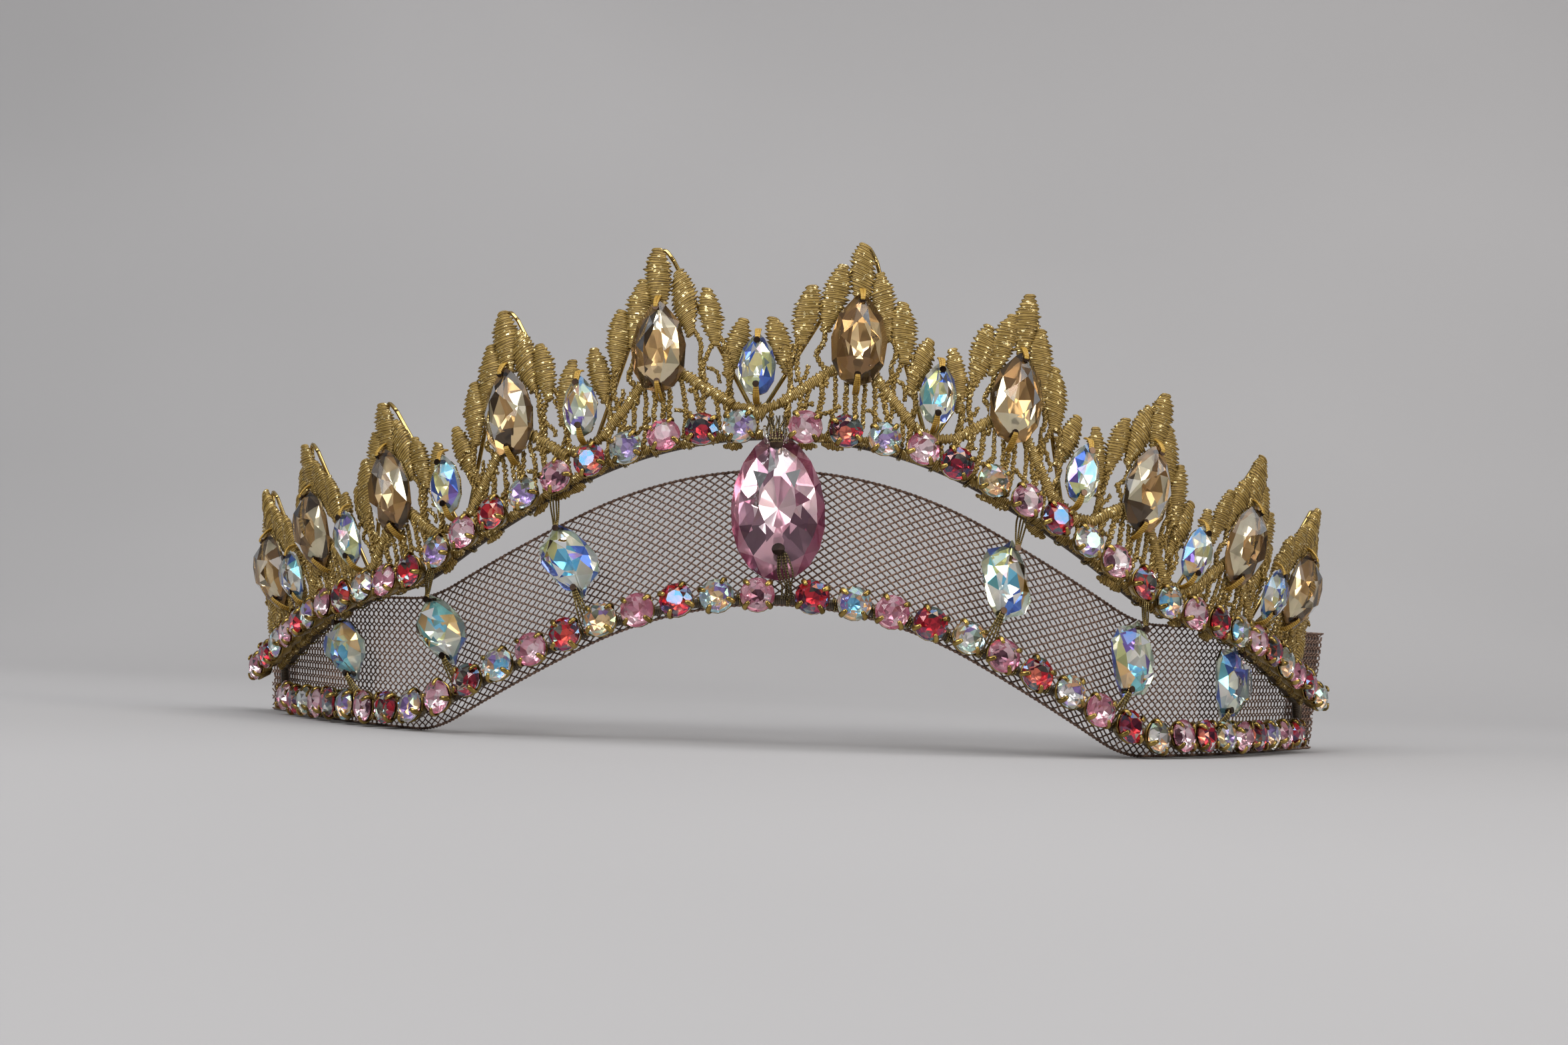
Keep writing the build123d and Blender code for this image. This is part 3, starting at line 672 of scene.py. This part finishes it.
def prong(shape, spot, angle, rng):
    """A claw of the cup, bent over the stone's edge."""
    reach = rng.uniform(0.85, 1.1)
    # Radius, height and half width along it
    profile = ((2.3, 1.2, 0.42), (3.05, 2.1, 0.46), (3.40, 2.85, 0.48), (3.38, 3.35, 0.48),
               (3.05, 3.76, 0.47), (3.05 - 0.55 * reach, 4.00, 0.44), (3.05 - 1.00 * reach, 4.12, 0.30))
    outward = spot.x * cos(angle) + spot.y * sin(angle)
    line = [spot.origin + outward * r + spot.z * z for r, z, _ in profile]
    sideways = spot.z.cross(outward)
    rings = []
    for point, along, (_, _, width) in zip(line, ways(line), profile):
        thick = along.cross(sideways) * CLAW_HALF_THICKNESS
        rings.append([point + sideways * (cos(a) * width) + thick * sin(a) for a in angles(8)])
    shape.rings(rings)


def cup(shape, spot, turn, rng):
    """Open cone under the stone, with four claws."""
    shape.rings([spot.ring(r, z, 16) for r, z in CUP_PROFILE])
    for i in range(4):
        prong(shape, spot, pi / 2 * (i + 0.5) + turn + sway(rng, 0.08), rng)


def make_rows():
    """Round stones and their cups, one piece for each node."""
    glasses = {"pink": (pink_glass, PINK_TONES), "red": (red_glass, RED_TONES),
               "crystal": (crystal_glass, CRYSTAL_TONES)}
    edge = CUP_FLOOR + PAVILION
    crown = ((0.50, edge + GIRDLE + CROWN), (0.76, edge + GIRDLE + CROWN * 0.62))
    pavilion = (edge + GIRDLE, edge, edge - PAVILION * 0.25, edge - PAVILION * 0.72, CUP_FLOOR)
    for row, places, height, stand_off, seed in (("upper_row", upper_places, upper_row, UPPER_BACK, 11),
                                                 ("lower_row", lower_places, lower_row, CLEARANCE, 23)):
        rng = Random(seed)
        settings = Shape()
        spots = [wall_spot(s, height, stand_off).tipped(sway(rng, 0.08), rng.uniform(-0.12, 0.06))
                 for s in places]
        for spot in spots:
            cup(settings, spot, sway(rng, 0.35), rng)
        piece = settings.make(f"{row}_cups", [brass])
        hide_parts(f"{row}_settings")
        for number, colour in enumerate(COLOURS):
            glass, tones = glasses[colour]
            stones = Shape()
            for spot in spots[number::len(COLOURS)]:
                middle = (rng.choice(tones[0]),)
                cut_stone(stones, spot, round_outline, (2 * STONE_RADIUS, 2 * STONE_RADIUS), crown, pavilion,
                          8, (middle, *tones[1:]), rng, turn=rng.uniform(0, pi / 4))
            piece = stones.make(f"{row}_{colour}_stones", [glass, foil], flat_shading=True)
            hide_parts(f"{row}_{colour}")


def centre_spot():
    foot = upright_spot(0.0, lower_row, PEAR_BACK).moved(0, CENTRE_RAISE)
    return foot.turned(-CENTRE_TURN).moved(0, CENTRE[0] / 2)


def twist_spots():
    """Spots of the twisted drops, with their distances from the upper row and the lower one."""
    middles = [(a + b) / 2 for a, b in zip(lower_places, lower_places[1:])]
    first = LOWER_STONES[1] - 1
    hangs = [(first - n, share) for n, share in reversed(TWISTS)]
    hangs += [(first + n, share) for n, share in TWISTS]
    found = []
    for hang, share in hangs:
        low_s = middles[hang]
        high_s = low_s + copysign(TWIST_LEAN, low_s)
        low, high = wall(low_s, lower_row(low_s)), wall(high_s, upper_row(high_s))
        line = high - low
        across = line.cross(upright_spot((low_s + high_s) / 2, lower_row).z)
        out = across.cross(line).normalized()
        spot = Spot(low + line * share + out * PEAR_BACK, across, out)
        found.append((spot, line.length * (1 - share), line.length * share))
    return found


large_spots = [lace_spot(s, PEAR_BACK).moved(0, LARGE_RAISE + LARGE[0] / 2) for s in scallops]
small_spots = [lace_spot(s, PEAR_BACK + SMALL_LIFT).moved(0, SMALL_RAISE + SMALL[0] / 2) for s in valleys]
drop_spots = twist_spots()


def make_sewn_stones():
    rng = Random(5)
    sewn_stone("centre_stone", "centre_pear", centre_spot(), egg_outline, CENTRE, rose_glass, ROSE_TONES, rng,
               sides=10, insets=(CENTRE_TOP_INSET, CENTRE_LOW_INSET), hole=0.95)
    twists = [spot for spot, _, _ in drop_spots]
    for kind, node, spots, outline, size, glass, tones, slot, aside in (
            ("large_stone", "large_pear", large_spots, pear_outline, LARGE, golden_glass, GOLDEN_TONES,
             "golden_glass", 0.0),
            ("small_stone", "small_pear", small_spots, pear_outline, SMALL, rainbow_glass, RAINBOW_TONES,
             "rainbow_glass", 0.0),
            ("twist_stone", "twist_drop", twists, twist_outline, TWIST, rainbow_glass, RAINBOW_TONES,
             "rainbow_glass", TWIST_HOLE_SIDE)):
        for i, spot in enumerate(spots, 1):
            sewn_stone(f"{kind}_{i:02d}", f"{node}_{i:02d}", spot, outline, size, glass, tones, rng,
                       aside=aside)


# The lace

# Tables of half a scallop and half a valley: from across, from up, to across, to up, width
SCALLOP_LEAVES = ((5.3, 19.4, 3.0, 32.2, 4.6), (8.9, 16.0, 7.6, 27.4, 4.4))
TIP_LEAF = (0.0, 25.2, 0.0, 37.2, 4.9)
VALLEY_LEAVES = ((4.8, 10.6, 2.3, 21.8, 4.0),)
SCALLOP_BARS = ((0.0, 16.0, 11.4, 4.4, 2.5),)
# Cords have a bow to one side too
SCALLOP_CORDS = (
    (5.3, 20.4, 6.4, 14.6, 1.0, 0.8),
    (6.4, 14.6, 4.6, 8.8, 1.0, 0.9),
    (8.7, 17.0, 7.6, 7.0, 1.0, -0.8),
    (5.4, 9.8, 6.0, 0.2, 1.0, 0.4),
    (3.2, 12.0, 3.6, 0.4, 0.9, 0.5),
    (1.4, 12.0, 1.2, 0.4, 0.9, 0.3),
    (7.0, 8.4, 7.5, 0.4, 0.9, -0.4),
    (8.2, 7.6, 9.2, 0.4, 0.9, 0.4),
    (10.2, 5.0, 10.6, 0.4, 0.9, 0.2),
    (9.2, 18.4, 11.2, 12.0, 0.8, 0.7),
    (11.2, 12.0, 10.2, 6.0, 0.8, 0.6),
    (2.2, 6.0, 5.6, 3.4, 0.8, 0.5),
    (6.2, 5.4, 8.8, 2.6, 0.8, -0.5),
    (9.6, 15.6, 12.4, 14.2, 0.8, -0.6),
    (7.4, 12.4, 9.4, 9.0, 0.8, 0.6),
)
VALLEY_BARS = ((0.0, 4.0, 4.2, 5.6, 2.2),)
VALLEY_CORDS = (
    (4.8, 11.6, 4.2, 5.0, 1.0, 0.7),
    (4.3, 5.4, 4.5, 0.2, 1.0, 0.3),
    (2.0, 4.4, 2.2, 0.2, 0.9, 0.2),
)
END_LEAVES = ((0.6, 2.4, -1.2, 12.4, 3.8), (-2.6, 8.6, -4.6, 18.6, 3.8))


def leaf_width(share):
    """Width of a padded leaf along its length, from its foot to its blunt tip."""
    return max(sin(pi * share ** 1.15) ** 0.5, 0.44)


def even_width(share):
    return 1.0 if 0.06 < share < 0.94 else 0.75


STITCH_PITCH, STITCH_LIFT = 0.8, 0.6  # turns of the thread, and the bar's height over the plate
RIDGE, GROOVE = (1.0, 1.15), (0.70, 0.80)  # a stitch's size at its ridge and beside it
STITCH_SKEW = 0.45  # how far stitches run askew, in half widths


def padded_bar(shape, spot, start, end, width, profile, rng, thickness=2.0):
    """Padded satin stitch: a bar with an uneven ridge for each turn of its thread."""
    (x1, y1), (x2, y2) = start, end
    length = hypot(x2 - x1, y2 - y1)
    along = Vector(((x2 - x1) / length, (y2 - y1) / length, 0))
    side = Vector((-along.y, along.x, 0))
    count = max(round(length / STITCH_PITCH) * 2, 6)
    skew = sway(rng, STITCH_SKEW)
    rings = []
    for k in range(count + 1):
        share = k / count
        ridge = rng.uniform(*(RIDGE if k % 2 else GROOVE))
        w = width / 2 * profile(share) * ridge
        t = thickness / 2 * (0.35 + 0.65 * profile(share)) * ridge
        shift = sway(rng, 0.12)
        lean = skew + sway(rng, 0.08)
        ring = []
        for a in angles(12):
            p = (Vector((x1, y1, 0)) + along * (length * share + lean * w * cos(a))
                 + side * (cos(a) * w + shift))
            ring.append(spot.at(p.x, p.y, STITCH_LIFT + sin(a) * t))
        rings.append(ring)
    shape.rings(rings, step=length / count)


CORD_CROOK = 0.26
CORD_RADIUS, CORD_PITCH = (0.58, 0.70), (1.7, 2.3)


def bride(shape, spot, start, end, width, bow, rng):
    """Knotty twisted cord between two motifs, bowed to one side and a little crooked."""
    (x1, y1), (x2, y2) = start, end
    length = hypot(x2 - x1, y2 - y1)
    side = (-(y2 - y1) / length, (x2 - x1) / length)
    lift = STITCH_LIFT + rng.uniform(-0.15, 0.25)
    bow *= rng.uniform(0.6, 1.6)
    points = []
    for k in range(5):
        share = k / 4
        out = 4 * bow * share * (1 - share) + (sway(rng, CORD_CROOK) if 0 < k < 4 else 0)
        points.append(spot.at(x1 + (x2 - x1) * share + side[0] * out, y1 + (y2 - y1) * share + side[1] * out,
                              lift + rng.uniform(-0.1, 0.2)))
    twisted(shape, curve(points, max(round(length * 0.6), 3)), width * rng.uniform(*CORD_RADIUS), rng,
            rng.uniform(*CORD_PITCH))


def mapped(row, stretch, lean):
    """A table row's two points, stretched across and leaned over."""
    x1, y1, x2, y2 = row[:4]
    return ((x1 * stretch + y1 * tan(lean), y1), (x2 * stretch + y2 * tan(lean), y2))


LEAF_SPREAD = 1.12  # how far the stitches stand out over the plate


def leaf(shape, spot, row, stretch, lean, rng, thickness=2.0):
    """A padded leaf, a little off its drawn place."""
    start, end = ((x + sway(rng, 0.3), y + sway(rng, 0.3)) for x, y in mapped(row, stretch, lean))
    width = row[4] * LEAF_SPREAD * rng.uniform(0.94, 1.08)
    padded_bar(shape, spot, start, end, width, leaf_width, rng, thickness)


def half_motif(leaves, cords, spot, tables, stretch, lean, rng):
    """One side of a scallop or of a valley."""
    leaf_rows, bar_rows, cord_rows = tables
    for row in leaf_rows:
        leaf(leaves, spot, row, stretch, lean, rng)
    for row in bar_rows:
        padded_bar(leaves, spot, *mapped(row, stretch, lean), row[4] * 0.9, even_width, rng, 1.6)
    for row in cord_rows:
        bride(cords, spot, *mapped(row, stretch, lean), row[4], row[5], rng)


STRIP_STEP = 2.45  # between the stitches along the upper row
SCRAP_CHANCE, SCRAP_REACH, SCRAP_DROP = 0.2, (1.4, 2.4), (-2.6, -1.5)


def make_lace():
    rng = Random(31)
    leaves, cords = Shape(), Shape()
    scallop = SCALLOP_LEAVES, SCALLOP_BARS, SCALLOP_CORDS
    valley = VALLEY_LEAVES, VALLEY_BARS, VALLEY_CORDS
    for i, s in enumerate(scallops):
        spot, lean = lace_base(s), lace_lean(s)
        left = (s - scallops[i - 1]) / 2 if i > 0 else SCALLOP_PITCH / 2
        right = (scallops[i + 1] - s) / 2 if i < SCALLOPS - 1 else SCALLOP_PITCH / 2
        leaf(leaves, spot, TIP_LEAF, 1, lean, rng, 2.2)
        bride(cords, spot, *mapped((0, 15.0, 0, 0), 1, lean), 1.0, 0.3, rng)
        for stretch in (-left / MODEL_HALF, right / MODEL_HALF):
            half_motif(leaves, cords, spot, scallop, stretch, lean, rng)
    for i, s in enumerate(valleys):
        spot, lean = lace_base(s), lace_lean(s)
        half = (scallops[i + 1] - scallops[i]) / 2
        bride(cords, spot, *mapped((0, 4.0, 0, 0), 1, lean), 1.0, 0.1, rng)
        padded_bar(leaves, spot, *mapped((-1.9, 4.0, 1.9, 4.0), 1, lean), 3.6, even_width, rng, 1.7)
        for stretch in (-half / MODEL_HALF, half / MODEL_HALF):
            half_motif(leaves, cords, spot, valley, stretch, lean, rng)
    for side, s in zip((-1, 1), ends):
        spot, lean = lace_base(s), lace_lean(s)
        for row in END_LEAVES:
            leaf(leaves, spot, row, side, lean, rng)
    # Strip that is sewn along the upper row, and the scraps that hang out under it
    s = -ROW_END + UPPER_PITCH / 2
    while s < ROW_END - UPPER_PITCH / 2:
        spot = wall_spot(s, upper_row)
        padded_bar(leaves, spot, (-1.3, rng.uniform(-0.9, 0.3)), (1.3, rng.uniform(-0.9, 0.3)), 2.1,
                   even_width, rng, 1.3)
        if rng.random() < SCRAP_CHANCE:
            start = (-rng.uniform(*SCRAP_REACH), rng.uniform(*SCRAP_DROP))
            end = (rng.uniform(*SCRAP_REACH), rng.uniform(*SCRAP_DROP))
            padded_bar(leaves, spot, start, end, rng.uniform(1.4, 2.0), leaf_width, rng, 1.2)
        s += STRIP_STEP
    for shape, name in ((leaves, "lace_leaves"), (cords, "lace_cords")):
        piece = shape.make(name, [lace_thread])
        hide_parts("lace_crown")


# The net

CELL_ALONG, CELL_UP = 1.85, 1.4
STRAND_RADIUS, WEAVE_INSET = 0.16, 0.3
# Layers of net: from this far out, this far behind, moved along by this
NET_LAYERS = ((0.0, 0.0, 0.0), (ROW_END - 3.0, 0.45, 0.7), (ROW_END + 2.0, 0.8, 1.3))
CROSSING_LIFT = 0.13
SELVEDGE_INSET, SELVEDGE_WAVE = 0.25, 0.16  # two plaited strands along each edge


def net_point(s, up, out):
    """A point of the net, out from the sheet's own surface."""
    turn = plan(s)[2]
    outward = Vector((sin(turn), -cos(turn), 0))
    return wall(s, net_edge(s) + up) + outward * (NET_FRONT - NET_THICKNESS / 2 + out)


def make_net():
    """Braided band: two sets of strands that pass over and under each other."""
    net = Shape()
    rng = Random(3)
    half_width = ROW_END + TAIL_LENGTH
    woven = NET_WIDTH - 2 * WEAVE_INSET
    steps = round(woven / (CELL_UP / 2))
    rise_step = woven / steps
    run_step = CELL_ALONG / 2
    first = -half_width - steps * run_step
    count = round((2 * half_width + 2 * steps * run_step) / CELL_ALONG)
    for direction in (1, -1):
        for k in range(count):
            for nearest, behind, phase in NET_LAYERS:
                start = direction * (first + k * CELL_ALONG) + phase
                reach = half_width + rng.uniform(-0.5, 0.9)
                side = copysign(1, start + direction * steps * run_step / 2) if nearest else 0
                line = []
                for i in range(steps + 1):
                    s = start + direction * i * run_step
                    if nearest <= abs(s) <= reach and side * s >= 0:
                        over = CROSSING_LIFT * (1 if i % 2 else -1) * direction
                        line.append(net_point(s, WEAVE_INSET + i * rise_step, over - behind))
                if len(line) > 2:
                    net.tube(line, STRAND_RADIUS * rng.uniform(0.92, 1.08), 4)
    for up in (SELVEDGE_INSET, NET_WIDTH - SELVEDGE_INSET):
        for side in (-1, 1):
            line = []
            for i in range(round(4 * half_width / CELL_ALONG) + 1):
                s = -half_width + i * run_step
                wave = SELVEDGE_WAVE * (1 if i % 2 else -1) * side
                line.append(net_point(min(s, half_width), up + wave * 0.8, wave))
            net.tube(line, STRAND_RADIUS * 1.15, 4)
    piece = net.make("net_braid", [net_strand])
    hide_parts("net_band")


# Wires and threads

END_CLOSING = 0.66  # how far the upper wire's ends run on to the lower wire's
SUPPORT_FOOT = 3.0  # height over the upper row where the support wire turns back


def row_line(height, stand_off):
    """A row's line from end to end, with a point every 2 mm."""
    return [wall_spot(2.0 * i - ROW_END, height, stand_off).origin for i in range(round(ROW_END) + 1)]


def make_wires():
    for name, height in (("lower_wire", lower_row), ("upper_wire", upper_row)):
        shape = Shape()
        line = row_line(height, WIRE_CENTRE)
        if height is upper_row:
            for end, at in ((0, 0), (-1, len(line))):
                foot = wall_spot(-ROW_END if end == 0 else ROW_END, lower_row, WIRE_CENTRE).origin
                line.insert(at, line[end] + (foot - line[end]) * END_CLOSING)
        shape.tube(line, WIRE_RADIUS, 8)
        piece = shape.make(f"{name}_wrapped", [dark_wire])
        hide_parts(name)

    bends, neck = [], PEAK - 2 * PEAK_LOOP
    for foot, s in zip(ends[:1] + valleys, scallops):
        bends += [(foot, 0.0, SUPPORT_FOOT), (s, -PEAK_LOOP / 2, neck), (s, PEAK_LOOP / 2, PEAK),
                  (s, 2 * PEAK_LOOP, neck)]
    bends.append((ends[1], 0.0, SUPPORT_FOOT))
    points = [lace_base(s).at(across + up * tan(lace_lean(s)), up, SUPPORT_CENTRE) for s, across, up in bends]
    line = []
    for a, b in zip(points, points[1:]):
        line += [a.lerp(b, t) for t in ((0.0, 0.08, 0.92) if (b - a).length > 6 else (0.0,))]
    line.append(points[-1])
    shape = Shape()
    shape.tube(curve(line, 4), SUPPORT_RADIUS, 7)
    piece = shape.make("support_wire_bent", [gold_wire])
    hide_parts("support_wire")


def strand(shape, spot, points, radius, slot=0, sides=6, count=5):
    shape.tube(curve([spot.at(*p) for p in points], count), radius, sides, slot)


def abreast(count, pitch):
    """Places of threads that lie side by side."""
    return [(k - (count - 1) / 2) * pitch for k in range(count)]


DROP_THREADS, CENTRE_TOP_THREADS, CENTRE_LOW_THREADS = (4, 0.42), (7, 0.46), (5, 0.52)
PEAR_TIES = (4, 0.30)
THREAD_RADII = (0.17, 0.22)
CLEAR_LOOPS = (-2.1, -1.45, 1.45, 2.1)
CENTRE_LOW_SIDE = 1.1  # the lower bundle runs a little aside


def tie_drops(rng):
    drops = Shape()
    half = TWIST[0] / 2
    hole = half - HOLE_INSET
    for spot, up, down in drop_spots:
        for end_spot, reach in ((spot, up), (spot.turned(pi), down)):
            far = reach + 0.6
            for k, side in enumerate(abreast(*DROP_THREADS)):
                strand(drops, end_spot, [
                    (-TWIST_HOLE_SIDE + side * 0.4, hole - 0.1, 0.6),
                    (-TWIST_HOLE_SIDE + side * 0.5, hole + 0.2, 2.4),
                    (-TWIST_HOLE_SIDE + side, half + 0.6, 1.5 + 0.12 * (k % 2)),
                    (-TWIST_HOLE_SIDE + side * 1.5, (half + far) / 2 + 0.4, 0.5 + sway(rng, 0.2)),
                    (-TWIST_HOLE_SIDE * 0.5 + side * 1.2, far, -0.5)], 0.18)
    piece = drops.make("drop_loops", [brass_thread])
    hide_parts("drop_threads")


def tie_centre(rng):
    """Two bundles of dark thread, and clear loops at the top."""
    centre, spot = Shape(), centre_spot()
    half = CENTRE[0] / 2
    hole = half - CENTRE_TOP_INSET
    for k, side in enumerate(abreast(*CENTRE_TOP_THREADS)):
        stray = sway(rng, 0.35)
        strand(centre, spot, [
            (side * 0.5, hole, 1.6), (side * 0.7, hole + 0.4, 4.0),
            (side + stray, half - 0.4, 3.0 + 0.4 * (k % 2)),
            (side * 1.15 - stray, half + 1.6, 1.7 + 0.5 * (k % 2)),
            (side * 1.3, half + 3.4, -0.3)], rng.uniform(*THREAD_RADII))
    for side in CLEAR_LOOPS:
        loop = (side * 0.8, hole + 0.2, 3.6), (side, half - 1.2, 3.5), (side, half + 0.5, 2.3)
        strand(centre, spot, loop, 0.34, 1)
    hole = CENTRE_LOW_INSET - half
    for k, place in enumerate(abreast(*CENTRE_LOW_THREADS)):
        side = CENTRE_LOW_SIDE + place
        stray = sway(rng, 0.4)
        strand(centre, spot, [
            (side * 0.4, hole, 1.8), (side * 0.6, hole - 0.5, 4.3),
            (side + stray, -half + 0.8, 3.0 + 0.4 * (k % 2)),
            (side + 0.2 - stray, -half - 1.2, 1.4),
            (side + 0.2, -half - CENTRE_RAISE - 0.4, -0.6)], rng.uniform(*THREAD_RADII))
    piece = centre.make("centre_loops", [dark_thread, clear_tube])
    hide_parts("centre_threads")


def tie_pears(rng):
    """Short ties over both ends of every pear on the lace."""
    ties = Shape()
    for spots, (length, _, thickness) in ((large_spots, LARGE), (small_spots, SMALL)):
        hole, half = length / 2 - HOLE_INSET, length / 2
        for spot in spots:
            for end_spot in (spot, spot.turned(pi)):
                for place in abreast(*PEAR_TIES):
                    side = place + sway(rng, 0.08)
                    strand(ties, end_spot, [
                        (side * 0.5, hole, 0.7), (side * 0.6, hole + 0.15, thickness * 0.56),
                        (side, half + 0.05, 1.25), (side, half + 0.8, 0.1),
                        (side * 0.9, half + 1.0, -0.9)], 0.2, sides=5, count=4)
    piece = ties.make("pear_ties", [amber_thread])


WRAP_SIZE, WRAP_TALL, WRAP_PITCH = 1.15, 1.12, 0.36
WRAP_STEPS = 12  # points in a turn


def wrap_rows(rng):
    """Two turns of thread round the frame wire between each two stones."""
    wraps = Shape()
    for places, height, lift in ((upper_places, upper_row, 0.5), (lower_places, lower_row, 0.0)):
        for a, b in zip(places, places[1:]):
            spot = wall_spot((a + b) / 2 + sway(rng, 0.3), height, WIRE_CENTRE + lift / 2)
            lean, size = sway(rng, 0.5), WRAP_SIZE + lift
            line = []
            for k in range(2 * WRAP_STEPS + 1):
                angle = 2 * pi * k / WRAP_STEPS
                across = lean * sin(angle) + WRAP_PITCH * k / WRAP_STEPS
                line.append(spot.at(across, sin(angle) * WRAP_TALL, cos(angle) * size))
            wraps.tube(line, 0.16, 4)
    piece = wraps.make("row_wraps", [brass_thread])


def make_threads():
    rng = Random(8)
    tie_drops(rng)
    tie_centre(rng)
    tie_pears(rng)
    wrap_rows(rng)


# Stage

def make_stage():
    material, nodes, shader = new_material("backdrop")
    colours = ramp(nodes, ((0.3, (0.41, 0.40, 0.402)), (0.7, (0.47, 0.458, 0.46))), noise(nodes, 2.5), "Fac")
    join(colours, "Color", shader, "Base Color")
    put(shader, {"Roughness": 0.9})
    front, back, height, bend, width = -1.2, 0.75, 1.6, 0.45, 3.0
    line = [(front, 0.0), (back - bend, 0.0)]
    for k in range(1, 13):
        a = pi / 2 * k / 12
        line.append((back - bend + bend * sin(a), bend * (1 - cos(a))))
    line.append((back, height))
    points = [(x, y, z) for y, z in line for x in (-width, width)]
    faces = [(2 * i, 2 * i + 1, 2 * i + 3, 2 * i + 2) for i in range(len(line) - 1)]
    mesh = bpy.data.meshes.new("backdrop")
    mesh.from_pydata(points, [], faces)
    mesh.materials.append(material)
    mesh.polygons.foreach_set("use_smooth", [True] * len(faces))
    backdrop = show("backdrop", mesh)


def area_light(name, place, target, size, power, colour=(1, 1, 1)):
    data = bpy.data.lights.new(name, "AREA")
    data.shape = "RECTANGLE"
    data.size, data.size_y = size
    data.energy = power
    data.color = colour
    light = show(name, data)
    light.location = place
    light.rotation_mode = "QUATERNION"
    light.rotation_quaternion = (Vector(target) - Vector(place)).to_track_quat("-Z", "Y")


def make_lights():
    world = bpy.data.worlds.new("studio")
    bpy.context.scene.world = world
    world.use_nodes = True
    nodes = world.node_tree.nodes
    split = nodes.new("ShaderNodeSeparateXYZ")
    join(nodes.new("ShaderNodeTexCoord"), "Generated", split, "Vector")
    colours = ramp(nodes, ((0.0, (0.08, 0.08, 0.085)), (0.45, (0.26, 0.26, 0.27)), (1.0, (0.85, 0.86, 0.88))),
                   split, "Z")
    join(colours, "Color", put(nodes["Background"], {"Strength": 0.55}), "Color")
    area_light("window", (-0.7, -1.0, 1.0), (0, 0, 0.05), (0.8, 0.6), 12.0, (0.97, 0.99, 1.0))
    area_light("ceiling", (0.3, -0.2, 1.3), (0, 0, 0.05), (1.2, 0.9), 9.0)
    area_light("side", (1.1, -0.7, 0.5), (0, 0, 0.05), (0.35, 0.6), 5.0, (1.0, 0.96, 0.90))


# Camera

PHOTO_WIDTH, PHOTO_HEIGHT = 2353, 1568
FOCAL_PIXELS = 3200.0
TARGET_PIXEL = (1168.0, 897.0)  # the lower row's middle in the photo
CAMERA_DISTANCE = 376.0
AZIMUTH, ELEVATION, ROLL = radians(1.9), radians(-3.0), radians(2.1)


def make_camera():
    target = (wall(0, lower_row(0)) + Vector((0, -3, 0))) * MM
    back = Vector((sin(AZIMUTH) * cos(ELEVATION), -cos(AZIMUTH) * cos(ELEVATION), sin(ELEVATION)))
    right = Vector((0, 0, 1)).cross(back).normalized()
    up = back.cross(right)
    # The picture is turned so that the object's right side lies lower
    turned_right = right * cos(ROLL) + up * sin(ROLL)
    turned_up = up * cos(ROLL) - right * sin(ROLL)
    u = (TARGET_PIXEL[0] - PHOTO_WIDTH / 2) / FOCAL_PIXELS
    v = (TARGET_PIXEL[1] - PHOTO_HEIGHT / 2) / FOCAL_PIXELS
    distance = CAMERA_DISTANCE * MM
    place = target + back * distance - turned_right * (u * distance) + turned_up * (v * distance)
    camera = show("camera", bpy.data.cameras.new("camera"))
    camera.data.sensor_width = 36.0
    camera.data.lens = 36.0 * FOCAL_PIXELS / PHOTO_WIDTH
    camera.data.clip_start, camera.data.clip_end = 0.01, 20.0
    camera.location = place
    camera.rotation_mode = "QUATERNION"
    camera.rotation_quaternion = Matrix((turned_right, turned_up, back)).transposed().to_quaternion()
    bpy.context.scene.camera = camera


make_rows()
make_sewn_stones()
make_lace()
make_net()
make_wires()
make_threads()
make_stage()
make_lights()
make_camera()
bpy.context.scene.view_settings.view_transform = "Standard"
